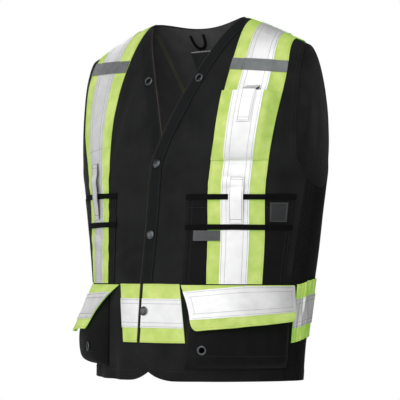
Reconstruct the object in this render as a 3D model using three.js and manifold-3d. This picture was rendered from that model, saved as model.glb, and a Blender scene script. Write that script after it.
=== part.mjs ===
// Surveyor safety vest: a sleeveless work vest with bright strips, silver tape and many pockets, as worn.
// Millimetres, +Z up. The front faces -Y and +X is the wearer's left.
// The origin lies midway between the two shoulders, on the line of the shoulder seams.
import * as THREE from "three";
import { mergeVertices } from "three/addons/utils/BufferGeometryUtils.js";
import Module from "manifold-3d";

const wasm = await Module();
wasm.setup();
const { lerp, clamp, smoothstep } = THREE.MathUtils;

// Heights and half widths of the body of the vest
const HEM_Z = -611;
const ARM_Z = -276;
const NECK_Z = 35;
const TIP_Z = -27;
const NECK_HALF = 103;
const TIP_HALF = 243;
const NECK_SOFTNESS = 28;
const BACK_NECK_DIP = 16;
const BACK_NECK_POWER = 1.5;
const SEAM_GAP = 0.4;

// Horizontal sections from the hem to the neck: half width, and how far the front and back stand out
const SECTIONS = [
  { z: HEM_Z, half: 218, front: 166, back: 99 },
  { z: -545, half: 220, front: 163, back: 118 },
  { z: -440, half: 234, front: 154, back: 138 },
  { z: -385, half: 243, front: 145, back: 142 },
  { z: -313, half: 256, front: 135, back: 133 },
  { z: ARM_Z, half: 263, front: 132, back: 129 },
  { z: -200, half: 274, front: 127, back: 130 },
  { z: -100, half: 279, front: 120, back: 124 },
  { z: NECK_Z, half: 280, front: 112, back: 112 },
];

// Each face of the vest: how square its sections are, and how its columns round over to the shoulder line
const FRONT = { sign: -1, depth: "front", squareness: 1.5, rise: [1.5, 2.6], flat: [1.5, 1.8] };
const BACK = { sign: 1, depth: "back", squareness: 1, rise: [1.6, 3], flat: [1.3, 1.8] };

// The two sides: how far each front runs past the middle, its neck point, and where its corner starts
// to round. The left front laps over the right one, so its edge is lifted clear of it
const LEFT = { name: "left", sign: 1, laps: true, lap: 5, neck: 105, cornerStart: 67 };
const RIGHT = { name: "right", sign: -1, laps: false, lap: 19, neck: 97, cornerStart: 29 };
const SIDES = [LEFT, RIGHT];
const LAP_LIFT = 2.1;
const LAP_FULL_TO = 26;
const LAP_GONE_AT = 75;
const CORNER = { width: 72, height: 64 };

// Thicknesses of the cloths, and the gap between two layers
const GAP = 0.35;
const PANEL = 1.5;
const PATCH = 1;
const STRIP = 1;
const TAPE = 1;
const WEBBING = 1.2;
const TAB = 1.2;
const POUCH = 2.4;
const CHEST_WALL = 1.4;
const FLAP = 1.6;
const ON_PANEL = PANEL + GAP;
const ON_PATCH = ON_PANEL + PATCH + GAP;
const BACK_GAP = 1.4;

// Short steps for measuring a surface's slope, and the sides of round pieces and holes
const STEP = { length: 0.5, row: 0.003, turn: 0.003, column: 0.01 };
const ROUND_SIDES = 12;
const HOLE = { sides: 14, length: 30 };

// Where a front's neckline leaves the straight edge, how it curves, and the width of its edge band
const NECKLINE = { row: 0.136, power: 1.25 };
const BAND_WIDTH = 25;
const BAND_TO_STRIP = 2;
const RIGHT_BAND_FOOT_ROW = 0.285;
const BACK_BAND = { row: 0.9, lowerHalf: 84, upperHalf: 102, steps: 8 };
const SIDE_SEAM_TURN = 0.8;
const SIDE_MESH_STEPS = 6;
const ARMHOLE_ROWS = { seamTop: 0.06, straight: 0.22 };

// Edges of a front strip across the body; row -0.5 is the waist, 0 the underarm and 1 the shoulder
const STRIP_EDGES = {
  left: [
    { row: -0.5, inner: 115.5, outer: 190.5 },
    { row: -0.25, inner: 113.5, outer: 196.5 },
    { row: -0.05, inner: 111, outer: 198.5 },
    { row: 0.2, inner: 115, outer: 206 },
    { row: 0.45, inner: 120, outer: 214.5 },
    { row: 0.78, inner: 125, outer: 223 },
    { row: 1, inner: 121, outer: 217 },
  ],
  right: [
    { row: -0.5, inner: 97, outer: 169 },
    { row: -0.25, inner: 107, outer: 181 },
    { row: -0.05, inner: 112, outer: 184 },
    { row: 0.2, inner: 118, outer: 205 },
    { row: 0.45, inner: 120, outer: 222 },
    { row: 0.78, inner: 112, outer: 230 },
    { row: 1, inner: 103, outer: 219 },
  ],
};

// Column lines of a front: edge 0, band 1, strip 4 to 8 with its tape 5 to 7, armhole or side seam 10
const COLUMNS = [0, 0.5, 1, 2, 3, 4, 5, 6, 7, 8, 9, 10];
const BAND_COLUMN = 1;
const STRIP_COLUMNS = [4, 8];
const TAPE_COLUMNS = [5, 7];
const MIDDLE_COLUMN = 6;
const LAST_COLUMN = 10;
const BACK_COLUMNS = { neck: 4, edge: 8 };
const LOWER_ROWS = 6;
const UPPER_ROWS = 8;

// The waist band, a 50 mm tape on a 100 mm strip
const WAIST_ROW = -0.5;
const WAIST_Z = -443.5;
const STRIP_WIDTH = 101.6;
const TAPE_INSET = 25.4;
const WAIST_COLUMNS = {
  left: { start: 0.24, top: 2.6, foot: 3.03 },
  right: { start: 1.02, top: 2.68, foot: 2.15 },
};
const WAIST_BACK = { turn: 0.85, steps: 34 };
const WAIST_STEPS = { front: 4, back: 2 };
const WAIST_RISE = { height: 10, from: 0.8, to: 1.15 };
const STRIP_FOOT_ROW = WAIST_ROW + 0.0015;
const BACK_FOOT_ROW = STRIP_FOOT_ROW + WAIST_RISE.height / (ARM_Z - HEM_Z);

// The strips that cross on the back: middle line at the shoulder and at the waist, and half width
const CROSS = { top: 169, bottom: -95, half: 59, lift: 3.2, liftTo: 105, liftGone: 165, longestStep: 0.09 };
const CROSS_COLUMNS = [-1, -0.5, 0, 0.5, 1];

// Pockets, straps and tabs on the fronts, by column and height; the strip steps up onto the patch pocket
const STRIP_STEP = { low: -268, high: -240 };
const PATCH_POCKET = { left: [2.78, 9.6], right: [3.35, 9.6], top: -287, bottom: -443 };
const WEBBING_COLUMNS = { left: [2.72, 9.65], right: [3.28, 9.65] };
const WEBBING_HEIGHT = 9.5;
const WEBBING_ROWS = [
  { name: "upper", left: -288, right: -282 },
  { name: "lower", left: -340.5, right: -334 },
];
const CHEST_POCKET = { side: LEFT, mouth: -113, seam: -229 };
const CHEST_COLUMNS = [4, 4.3, 4.65, 5, 6, 7, 7.35, 7.7, 8];
const CHEST_PARTS = [0, 0.06, 0.12, 0.25, 0.45, 0.7, 1];
const CHEST_SQUARENESS = 4;
const CHEST_DEPTH = [
  { part: 0, depth: 0 },
  { part: 0.12, depth: 5 },
  { part: 0.35, depth: 9.5 },
  { part: 0.7, depth: 13 },
  { part: 1, depth: 14 },
];
const TOOL_TABS = [
  { side: LEFT, top: -257, bottom: -339 },
  { side: RIGHT, top: -226, bottom: -328 },
];
const TOOL_TAB_COLUMNS = [5.6, 6.6];
const TOOL_TAB_BOW = 4;
const TOOL_TAB_STEPS = 8;
const CHEST_TAB = { columns: [5.6, 6.5], top: -100, bottom: -166, overMouth: 1, steps: 4 };
const SHOULDER_TAPES = [
  { side: LEFT, inner: -49, outer: -58, drop: 20 },
  { side: RIGHT, inner: -40, outer: -37, drop: 22 },
];
const SHOULDER_STEPS = 3;
const WOVEN_PATCH = { columns: [8.3, 9.3], top: -302, bottom: -336 };
const TAPE_TAG = { columns: [3.07, 4.95], top: -351, bottom: -369 };

// Cargo pockets, by turn round the body (0 front middle, 1 side) and height
const CARGO = { turns: [0.256, 0.82], bottom: -588, mouth: -456, base: 2.1 };
const CARGO_DEPTH = [
  { z: -588, depth: 0 },
  { z: -585, depth: 14 },
  { z: -578, depth: 24 },
  { z: -563, depth: 28 },
  { z: -543, depth: 29 },
  { z: -525, depth: 27 },
  { z: -500, depth: 18 },
  { z: -475, depth: 7.5 },
  { z: -456, depth: 2.5 },
];
const CARGO_SQUARENESS = 5;
const CARGO_PARTS = [0, 0.03, 0.08, 0.12, 0.16, 0.24, 0.32, 0.5, 0.68, 0.84, 0.92, 0.97, 1];
const CARGO_HEIGHTS = [CARGO.bottom, -586, -583, -575, -560, -543, -525, -500, -475, CARGO.mouth];
const CARGO_FLAP = { top: -445, outer: [0.83, 0.79], corner: 0.03, base: 2.1, reach: 41 };
const FLAP_END = { reach: 0.8, part: 0.3 };
const FLAP_SHAPES = {
  left: { inner: [0.205, 0.285], bottom: [-524, -503], tapeTop: [0.15, 0.02], tapeBottom: [0.77, 0.72] },
  right: { inner: [0.17, 0.33], bottom: [-524, -530], tapeTop: [0.17, 0.2], tapeBottom: [0.77, 0.77] },
};
const FLAP_CORNER_FROM = 0.78;
const FLAP_STEPS = 10;
const FLAP_ROWS = [0, 0.07, 0.15, 0.3, 0.5, 0.7, 0.78, 0.86, 0.94, 1];
const FLAP_TAPE_STEPS = 4;

// Metal: snaps on the front middle, eyelets on the neck bands and on the cargo pockets
const SNAPS = [
  { name: "top", z: -234, layer: STRIP },
  { name: "middle", z: -358, layer: STRIP },
  { name: "bottom", z: -491, layer: STRIP + GAP + TAPE },
];
const SNAP_COLUMN = 0.48;
const SNAP_PROFILE = [
  { radius: 0, height: 0 },
  { radius: 8, height: 0 },
  { radius: 8, height: 0.9 },
  { radius: 6.6, height: 2.3 },
  { radius: 3.2, height: 3 },
  { radius: 0, height: 3.2 },
];
const EYELET = { hole: 4.3, seat: 0.7 };
const EYELET_PROFILE = [
  { radius: 4.6, height: 0 },
  { radius: 8.5, height: 0 },
  { radius: 7.9, height: 1.4 },
  { radius: 6.5, height: 2.2 },
  { radius: 5, height: 1.5 },
  { radius: 4.6, height: 0 },
];
const NECK_EYELET = { column: 0.55, z: -84 };
const CARGO_EYELET = { turn: 0.34, z: -556 };

// Small cloth inside the back neck
const LABEL = { middle: -14, half: 25, top: -16, bottom: -74, steps: 4 };
const LOOP = { middle: -14, half: 15, top: 11, drop: 24, width: 5, steps: 10, roundness: 0.7 };
const INSIDE_OFFSET = -2;

// A value of a table between its rows, along a smooth curve
function slopeAt(table, key, column, i) {
  const before = table[Math.max(i - 1, 0)];
  const after = table[Math.min(i + 1, table.length - 1)];
  return (after[column] - before[column]) / (after[key] - before[key]);
}

function tableValue(table, key, at, column) {
  let i = 0;
  while (i < table.length - 2 && at > table[i + 1][key]) {
    i += 1;
  }
  const span = table[i + 1][key] - table[i][key];
  const t = clamp((at - table[i][key]) / span, 0, 1);
  const bend = t * t * (3 - 2 * t);
  const start = (t * t * t - 2 * t * t + t) * span * slopeAt(table, key, column, i);
  const end = (t * t * t - t * t) * span * slopeAt(table, key, column, i + 1);
  return lerp(table[i][column], table[i + 1][column], bend) + start + end;
}

function section(z, column) {
  return tableValue(SECTIONS, "z", z, column);
}

// The shoulder line: level across the neck, then round a soft corner and straight down to the tip
function shoulderHeight(x) {
  const past = Math.abs(x) - NECK_HALF;
  const run = (past + Math.hypot(past, NECK_SOFTNESS)) / 2;
  return lerp(NECK_Z, TIP_Z, run / (TIP_HALF - NECK_HALF));
}

function panelTop(face, x) {
  const inNeck = Math.max(1 - (x / NECK_HALF) ** 2, 0) ** BACK_NECK_POWER;
  const dip = face === BACK ? BACK_NECK_DIP : 0;
  return shoulderHeight(x) - dip * inNeck;
}

// How much of its depth a column keeps as it climbs from the underarm (0) to the shoulder line (1)
function roundOver(face, x, climb) {
  const outward = smoothstep(Math.abs(x), 0, TIP_HALF);
  const rise = lerp(face.rise[0], face.rise[1], outward);
  const flat = lerp(face.flat[0], face.flat[1], outward);
  return (1 - clamp(climb, 0, 1) ** rise) ** (1 / flat);
}

// A point of the front or back, x across and row up: -1 hem, 0 underarm, 1 shoulder line
function panelPoint(face, x, row) {
  const z = row < 0 ? lerp(ARM_Z, HEM_Z, -row) : lerp(ARM_Z, panelTop(face, x), row);
  const climb = Math.max((z - ARM_Z) / (shoulderHeight(x) - ARM_Z), 0);
  const across = Math.sqrt(Math.max(1 - (x / section(z, "half")) ** 2, 0));
  const depth = section(z, face.depth) * across ** face.squareness * roundOver(face, x, climb);
  return new THREE.Vector3(x, face.sign * (depth + (SEAM_GAP / 2) * Math.max(row, 0)), z);
}

// The height of a row near the outer end of the shoulder
function heightAt(row) {
  return row < 0 ? lerp(ARM_Z, HEM_Z, -row) : lerp(ARM_Z, TIP_Z, row);
}

function rowAtHeight(face, x, z) {
  if (z < ARM_Z) {
    return (z - ARM_Z) / (ARM_Z - HEM_Z);
  }
  return (z - ARM_Z) / (panelTop(face, x) - ARM_Z);
}

// A point of the body below the underarm, turn 0 front middle, 1 left side, 2 back middle, 3 right side
function ringPoint(turn, z) {
  const angle = (turn * Math.PI) / 2;
  const face = Math.cos(angle) > 0 ? FRONT : BACK;
  const depth = section(z, face.depth) * Math.abs(Math.cos(angle)) ** face.squareness;
  return new THREE.Vector3(section(z, "half") * Math.sin(angle), face.sign * depth, z);
}

// The outward normal of a surface at a and b, from short steps along it
function normalOf(surface, a, b, stepA, stepB, lastB) {
  const alongA = surface(a + stepA, b).sub(surface(a - stepA, b));
  const alongB = surface(a, Math.min(b + stepB, lastB)).sub(surface(a, b - stepB));
  return alongA.cross(alongB).normalize();
}

function panelAt(face, x, row, offset) {
  const surface = (a, b) => panelPoint(face, a, b);
  const normal = normalOf(surface, x, row, STEP.length, STEP.row, 1).multiplyScalar(-face.sign);
  return panelPoint(face, x, row).addScaledVector(normal, offset);
}

function ringAt(turn, z, offset) {
  const normal = normalOf(ringPoint, turn, z, STEP.turn, STEP.length, Infinity);
  return ringPoint(turn, z).addScaledVector(normal, offset);
}

// The lines that a front's pieces follow, as distances from the front middle at a row
function frontEdge(side, row) {
  const climb = clamp((row - NECKLINE.row) / (1 - NECKLINE.row), 0, 1);
  return lerp(-side.lap, side.neck, climb ** NECKLINE.power);
}

function stripEdge(side, row, column) {
  return tableValue(STRIP_EDGES[side.name], "row", row, column);
}

// The side seam up to the armhole's bottom corner, then the armhole's edge
function outerEdge(row) {
  const seam = section(heightAt(row), "half") * Math.sin((SIDE_SEAM_TURN * Math.PI) / 2) - GAP;
  return lerp(seam, TIP_HALF, smoothstep(row, ARMHOLE_ROWS.seamTop, ARMHOLE_ROWS.straight));
}

function frontColumn(side, column, row) {
  const inner = stripEdge(side, row, "inner");
  const outer = stripEdge(side, row, "outer");
  const edge = frontEdge(side, row);
  const band = Math.min(edge + BAND_WIDTH, inner - BAND_TO_STRIP);
  const [first, last] = STRIP_COLUMNS;
  if (column <= BAND_COLUMN) {
    return lerp(edge, band, column);
  }
  if (column <= first) {
    return lerp(band, inner, (column - BAND_COLUMN) / (first - BAND_COLUMN));
  }
  if (column <= last) {
    return lerp(inner, outer, (column - first) / (last - first));
  }
  return lerp(outer, outerEdge(row), (column - last) / (LAST_COLUMN - last));
}

function lapLift(side, x) {
  return side.laps ? LAP_LIFT * (1 - smoothstep(x, LAP_FULL_TO, LAP_GONE_AT)) : 0;
}

function frontAt(side, column, row, offset) {
  const x = frontColumn(side, column, row);
  return panelAt(FRONT, side.sign * x, row, offset + lapLift(side, x));
}

function rowOnFront(side, column, z) {
  const guess = frontColumn(side, column, rowAtHeight(FRONT, frontColumn(side, column, 0), z));
  return rowAtHeight(FRONT, guess, z);
}

function frontAtHeight(side, column, z, offset) {
  return frontAt(side, column, rowOnFront(side, column, z), offset);
}

// A front's bottom corner is rounded off: its rows below the waist draw up towards the edge
function cornerRow(side, column, row) {
  const past = clamp((side.cornerStart - frontColumn(side, column, row)) / CORNER.width, 0, 1);
  const rise = CORNER.height * (1 - Math.sqrt(1 - past * past));
  const below = Math.min(row - WAIST_ROW, 0);
  return row - (below * rise) / (WAIST_Z - HEM_Z);
}

// Lists of grid lines: even steps, the front's own columns, and the rows, one of them along the patch
// pocket's top and the upper ones crowding towards the shoulder
function steps(start, end, count) {
  return Array.from({ length: count + 1 }, (unused, i) => lerp(start, end, i / count));
}

function columnsBetween([start, end]) {
  return [start, ...COLUMNS.filter((column) => column > start && column < end), end];
}

function rowsBetween(start, end) {
  const pocketTop = rowAtHeight(FRONT, 0, PATCH_POCKET.top);
  const lower = [...steps(-1, 0, LOWER_ROWS).slice(0, -1), pocketTop, 0];
  const upper = steps(1, 0, UPPER_ROWS).map((left) => 1 - left * left);
  const armhole = [ARMHOLE_ROWS.seamTop, (ARMHOLE_ROWS.seamTop + upper[1]) / 2];
  const inside = [...lower, ...armhole, ...upper.slice(1)].filter((row) => row > start && row < end);
  return [start, ...inside, end];
}

function halveLongSteps(lines, longest) {
  return lines.flatMap((line, i) => {
    const before = lines[Math.max(i - 1, 0)];
    return line - before > longest ? [(before + line) / 2, line] : [line];
  });
}

// A closed sheet of cloth: a grid of points at its inner and its outer offset, joined round the rim
function sheetGeometry(across, along, at, inner, outer) {
  const width = across.length;
  const size = width * along.length;
  const points = [];
  for (const offset of [inner, outer]) {
    for (const b of along) {
      for (const a of across) {
        points.push(at(a, b, offset(a, b)));
      }
    }
  }
  const index = [];
  const quad = (p, q, r, s) => index.push(p, q, r, p, r, s);
  for (let j = 0; j + 1 < along.length; j += 1) {
    for (let i = 0; i + 1 < width; i += 1) {
      const corner = j * width + i;
      quad(size + corner, size + corner + 1, size + corner + width + 1, size + corner + width);
      quad(corner, corner + width, corner + width + 1, corner + 1);
    }
  }
  const lastRow = along.length - 1;
  const columns = across.map((a, i) => i);
  const rows = along.map((b, j) => j);
  const foot = columns.slice(0, -1);
  const farSide = rows.slice(0, -1).map((j) => j * width + width - 1);
  const top = columns.slice(1).reverse().map((i) => lastRow * width + i);
  const nearSide = rows.slice(1).reverse().map((j) => j * width);
  const rim = [...foot, ...farSide, ...top, ...nearSide];
  rim.forEach((p, k) => {
    const q = rim[(k + 1) % rim.length];
    quad(p, q, size + q, size + p);
  });
  return closedGeometry(points, index);
}

// A geometry from points and triangles, turned so that its faces point out
function closedGeometry(points, index) {
  let volume = 0;
  for (let i = 0; i < index.length; i += 3) {
    const [p, q, r] = [points[index[i]], points[index[i + 1]], points[index[i + 2]]];
    volume += p.dot(new THREE.Vector3().crossVectors(q, r));
  }
  const geometry = new THREE.BufferGeometry().setFromPoints(points);
  geometry.setIndex(volume < 0 ? index.slice().reverse() : index);
  return geometry;
}

// A solid for cutting, with only its positions kept and shared corners merged
function solidOf(geometry) {
  const plain = geometry.clone();
  plain.deleteAttribute("normal");
  plain.deleteAttribute("uv");
  const merged = mergeVertices(plain);
  const vertProperties = new Float32Array(merged.attributes.position.array);
  const triVerts = new Uint32Array(merged.index.array);
  return new wasm.Manifold(new wasm.Mesh({ numProp: 3, vertProperties, triVerts }));
}

// The same cloth with a round hole through it at a seat
function pierced(geometry, seat) {
  const drill = new THREE.CylinderGeometry(EYELET.hole, EYELET.hole, HOLE.length, HOLE.sides);
  drill.applyQuaternion(seat.turn);
  drill.translate(seat.point.x, seat.point.y, seat.point.z);
  const mesh = solidOf(geometry).subtract(solidOf(drill)).getMesh();
  const result = new THREE.BufferGeometry();
  result.setAttribute("position", new THREE.BufferAttribute(mesh.vertProperties, 3));
  result.setIndex(new THREE.BufferAttribute(mesh.triVerts, 1));
  return result;
}

// A place on a surface for a round fitting: its point and the turn from +Y to the normal there
function seatOn(at, a, b, offset, stepA, stepB) {
  const surface = (p, q) => at(p, q, offset(p, q));
  const normal = normalOf(surface, a, b, stepA, stepB, Infinity);
  const point = surface(a, b);
  if (normal.dot(point.clone().setZ(0)) < 0) {
    normal.negate();
  }
  const turn = new THREE.Quaternion().setFromUnitVectors(new THREE.Vector3(0, 1, 0), normal);
  return { point, normal, turn };
}

// Materials
function cloth(color, roughness) {
  return new THREE.MeshStandardMaterial({ color, roughness, metalness: 0 });
}

const BLACK = cloth(0x1c1d20, 0.9);
const MESH_BLACK = cloth(0x232427, 0.95);
const EDGE_BLACK = cloth(0x171a20, 0.85);
const LIME = cloth(0xc4e45f, 0.75);
const SILVER = cloth(0xe6e6e8, 0.35);
const GREY = cloth(0x8a8f90, 0.5);
const WEB_BLACK = cloth(0x141518, 0.8);
const LABEL_GREY = cloth(0x3c3e42, 0.85);
const GUNMETAL = new THREE.MeshStandardMaterial({ color: 0x3a3d42, roughness: 0.35, metalness: 1 });

const vest = new THREE.Group();

function addPiece(name, geometry, material) {
  const mesh = new THREE.Mesh(geometry, material);
  mesh.name = name;
  vest.add(mesh);
  return mesh;
}

// A sheet of an even thickness whose inner offset is given as a number or as a function
function addSheet(name, material, across, along, at, inner, thickness) {
  const low = typeof inner === "function" ? inner : () => inner;
  const high = (a, b) => low(a, b) + thickness;
  return addPiece(name, sheetGeometry(across, along, at, low, high), material);
}

// Offsets of the layers on a front
function stripOffset(z) {
  const overPatch = 1 - smoothstep(z, STRIP_STEP.low, STRIP_STEP.high);
  return ON_PANEL + (PATCH + GAP) * overPatch;
}

function stripOffsetAtRow(column, row) {
  return stripOffset(heightAt(row));
}

function tapeOffsetAtRow(column, row) {
  return stripOffsetAtRow(column, row) + STRIP + GAP;
}

// On top of the strip, and of its tape where the tape is
function overStrip(column, z) {
  const overTape = column >= TAPE_COLUMNS[0] && column <= TAPE_COLUMNS[1];
  return stripOffset(z) + STRIP + GAP + (overTape ? TAPE + GAP : 0);
}

function overWebbing(column, z) {
  const overStripToo = column >= STRIP_COLUMNS[0] && column <= STRIP_COLUMNS[1];
  return overStripToo ? stripOffset(z) + STRIP + TAPE + 3 * GAP : ON_PATCH;
}

// Panels
function neckEyeletSeat(side) {
  const row = rowAtHeight(FRONT, NECK_HALF, NECK_EYELET.z);
  const at = (column, r, offset) => frontAt(side, column, r, offset);
  const stand = () => ON_PANEL + STRIP + EYELET.seat;
  return seatOn(at, NECK_EYELET.column, row, stand, STEP.column, STEP.row);
}

function addFrontPanel(side) {
  const at = (column, row, offset) => frontAt(side, column, cornerRow(side, column, row), offset);
  const across = columnsBetween([0, LAST_COLUMN]);
  const geometry = sheetGeometry(across, rowsBetween(-1, 1), at, () => 0, () => PANEL);
  addPiece(`front_${side.name}_panel`, pierced(geometry, neckEyeletSeat(side)), BLACK);
}

function backColumn(column, row) {
  const { neck, edge } = BACK_COLUMNS;
  const reach = Math.abs(column);
  const inNeck = (NECK_HALF * reach) / neck;
  const pastNeck = lerp(NECK_HALF, outerEdge(row), (reach - neck) / (edge - neck));
  return Math.sign(column) * (reach <= neck ? inNeck : pastNeck);
}

function addBackPanel() {
  const at = (column, row, offset) => panelAt(BACK, backColumn(column, row), row, offset);
  const across = steps(-BACK_COLUMNS.edge, BACK_COLUMNS.edge, 2 * BACK_COLUMNS.edge);
  addSheet("back_panel", BLACK, across, rowsBetween(-1, 1), at, 0, PANEL);
}

function addSideMesh(side) {
  const reach = 1 - SIDE_SEAM_TURN;
  const seamTop = heightAt(ARMHOLE_ROWS.seamTop);
  const at = (turn, climb, offset) => {
    const top = lerp(ARM_Z, seamTop, ((turn - 1) / reach) ** 2);
    return ringAt(side.sign * turn, lerp(HEM_Z, top, climb), offset);
  };
  const across = steps(SIDE_SEAM_TURN, 1 + reach, SIDE_MESH_STEPS);
  addSheet(`side_mesh_${side.name}`, MESH_BLACK, across, steps(0, 1, LOWER_ROWS), at, 0, PANEL);
}

// Edge bands of the neck and the front opening; the right one ends where it goes under the left front
function addEdgeBand(side) {
  const bottom = side.laps ? STRIP_FOOT_ROW : RIGHT_BAND_FOOT_ROW;
  const at = (column, row, offset) => frontAt(side, column, row, offset);
  const across = columnsBetween([0, BAND_COLUMN]);
  const top = () => ON_PANEL + STRIP;
  const geometry = sheetGeometry(across, rowsBetween(bottom, 1), at, () => ON_PANEL, top);
  addPiece(`front_${side.name}_edge_band`, pierced(geometry, neckEyeletSeat(side)), EDGE_BLACK);
}

function addBackNeckBand() {
  const { row: foot, lowerHalf, upperHalf, steps: count } = BACK_BAND;
  const at = (part, row, offset) => {
    const half = lerp(lowerHalf, upperHalf, (row - foot) / (1 - foot));
    return panelAt(BACK, part * half, row, offset);
  };
  const rows = rowsBetween(foot, 1);
  addSheet("back_neck_band", EDGE_BLACK, steps(-1, 1, count), rows, at, PANEL + BACK_GAP, STRIP);
}

// Bright strips with their silver tape
function addFrontStrip(side) {
  const at = (column, row, offset) => frontAt(side, column, row, offset);
  const rows = rowsBetween(STRIP_FOOT_ROW, 1);
  const name = `front_${side.name}_strip`;
  addSheet(name, LIME, columnsBetween(STRIP_COLUMNS), rows, at, stripOffsetAtRow, STRIP);
  addSheet(`${name}_tape`, SILVER, columnsBetween(TAPE_COLUMNS), rows, at, tapeOffsetAtRow, TAPE);
}

function addBackStrip(side) {
  const crossing = lerp(WAIST_Z, TIP_Z, -CROSS.bottom / (CROSS.top - CROSS.bottom));
  const at = (column, row, offset) => {
    const middle = lerp(CROSS.bottom, CROSS.top, (heightAt(row) - WAIST_Z) / (TIP_Z - WAIST_Z));
    return panelAt(BACK, side.sign * (middle + CROSS.half * column), row, offset);
  };
  const lift = (row) => {
    const away = Math.abs(heightAt(row) - crossing);
    return side === RIGHT ? CROSS.lift * (1 - smoothstep(away, CROSS.liftTo, CROSS.liftGone)) : 0;
  };
  const rows = halveLongSteps(rowsBetween(BACK_FOOT_ROW, 1), CROSS.longestStep);
  const name = `back_strip_${side.name}_shoulder`;
  const stripAt = (column, row) => PANEL + BACK_GAP + lift(row);
  addSheet(name, LIME, CROSS_COLUMNS, rows, at, stripAt, STRIP);
  const tapeAt = (column, row) => stripAt(column, row) + STRIP + GAP;
  addSheet(`${name}_tape`, SILVER, CROSS_COLUMNS.slice(1, -1), rows, at, tapeAt, TAPE);
}

function addShoulderTape({ side, inner, outer, drop }) {
  const at = (column, part, offset) => {
    const [first, last] = STRIP_COLUMNS;
    const top = lerp(inner, outer, (column - first) / (last - first));
    return frontAtHeight(side, column, top - drop * part, offset);
  };
  const offset = (column) => overStrip(column, 0);
  const across = columnsBetween(STRIP_COLUMNS);
  addSheet(`shoulder_cross_tape_${side.name}`, GREY, across, steps(1, 0, SHOULDER_STEPS), at, offset, TAPE);
}

// The waist band: a short piece on each front with a slanted outer end, and one round the sides and the back
function addWaistFront(side) {
  const { start, top, foot } = WAIST_COLUMNS[side.name];
  const across = columnsBetween([start, top]);
  const at = (column, z, offset) => {
    const end = lerp(top, foot, (WAIST_Z - z) / STRIP_WIDTH);
    return frontAtHeight(side, column === top ? end : column, z, offset);
  };
  const name = `waist_band_front_${side.name}`;
  const heights = steps(WAIST_Z - STRIP_WIDTH, WAIST_Z, WAIST_STEPS.front);
  addSheet(name, LIME, across, heights, at, ON_PANEL, STRIP);
  const tapeHeights = heights.slice(1, -1);
  addSheet(`${name}_tape`, SILVER, across, tapeHeights, at, ON_PANEL + STRIP + GAP, TAPE);
}

// The band climbs a little from the fronts to the back
function waistBackAt(turn, z, offset) {
  const away = Math.min(turn, 4 - turn);
  return ringAt(turn, z + WAIST_RISE.height * smoothstep(away, WAIST_RISE.from, WAIST_RISE.to), offset);
}

function addWaistBack() {
  const across = steps(WAIST_BACK.turn, 4 - WAIST_BACK.turn, WAIST_BACK.steps);
  const heights = steps(WAIST_Z - STRIP_WIDTH, WAIST_Z, WAIST_STEPS.back);
  const onBack = PANEL + BACK_GAP;
  addSheet("waist_band_back", LIME, across, heights, waistBackAt, onBack, STRIP);
  const tapeHeights = [heights[0] + TAPE_INSET, heights[WAIST_STEPS.back] - TAPE_INSET];
  addSheet("waist_band_back_tape", SILVER, across, tapeHeights, waistBackAt, onBack + STRIP + GAP, TAPE);
}

// The chest pocket: a puffed bag on the left strip, open at its top, with its own tape
function chestOffset(column, z) {
  const { mouth, seam } = CHEST_POCKET;
  const depth = tableValue(CHEST_DEPTH, "part", (z - seam) / (mouth - seam), "depth");
  const halfWidth = STRIP_COLUMNS[1] - MIDDLE_COLUMN;
  const spread = 1 - Math.abs((column - MIDDLE_COLUMN) / halfWidth) ** CHEST_SQUARENESS;
  return overStrip(column, z) + depth * spread;
}

function addChestPocket() {
  const { side, mouth, seam } = CHEST_POCKET;
  const at = (column, z, offset) => frontAtHeight(side, column, z, offset);
  const heights = CHEST_PARTS.map((part) => lerp(seam, mouth, part));
  addSheet(`chest_pocket_${side.name}`, LIME, CHEST_COLUMNS, heights, at, chestOffset, CHEST_WALL);
  const tapeAt = (column, z) => chestOffset(column, z) + CHEST_WALL + GAP;
  const tapeColumns = columnsBetween(TAPE_COLUMNS);
  addSheet(`chest_pocket_tape_${side.name}`, SILVER, tapeColumns, heights, at, tapeAt, TAPE);
}

// The tab that closes the chest pocket: sewn above its mouth and lying on its front
function addChestTab() {
  const { columns, top, bottom, overMouth, steps: count } = CHEST_TAB;
  const { side, mouth } = CHEST_POCKET;
  const bend = mouth + overMouth;
  const onPocket = CHEST_WALL + TAPE + 2 * GAP;
  const offset = (column, z) => {
    const rest = overStrip(MIDDLE_COLUMN, z);
    const down = 1 - smoothstep(z, bend, top);
    const wall = chestOffset(MIDDLE_COLUMN, Math.min(z, mouth));
    return lerp(rest, wall + onPocket, down);
  };
  const at = (column, z, stand) => frontAtHeight(side, column, z, stand);
  const heights = [...steps(bottom, mouth, count), ...steps(bend, top, count)];
  addSheet("chest_pocket_tab", SILVER, columnsBetween(columns), heights, at, offset, TAB);
}

function addToolTab({ side, top, bottom }) {
  const offset = (column, z) => {
    const part = (z - bottom) / (top - bottom);
    return stripOffset(z) + STRIP + TAPE + 3 * GAP + TOOL_TAB_BOW * Math.sin(Math.PI * part);
  };
  const at = (column, z, stand) => frontAtHeight(side, column, z, stand);
  const across = columnsBetween(TOOL_TAB_COLUMNS);
  const heights = steps(bottom, top, TOOL_TAB_STEPS);
  addSheet(`tool_tab_${side.name}`, SILVER, across, heights, at, offset, TAB);
}

// Patch pocket and webbing behind and across the strip
function addPatchPocket(side) {
  const { top, bottom } = PATCH_POCKET;
  const across = columnsBetween(PATCH_POCKET[side.name]);
  const at = (column, row, offset) => frontAt(side, column, row, offset);
  const rows = rowsBetween(rowAtHeight(FRONT, 0, bottom), rowAtHeight(FRONT, 0, top));
  addSheet(`patch_pocket_${side.name}`, BLACK, across, rows, at, ON_PANEL, PATCH);
}

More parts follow.
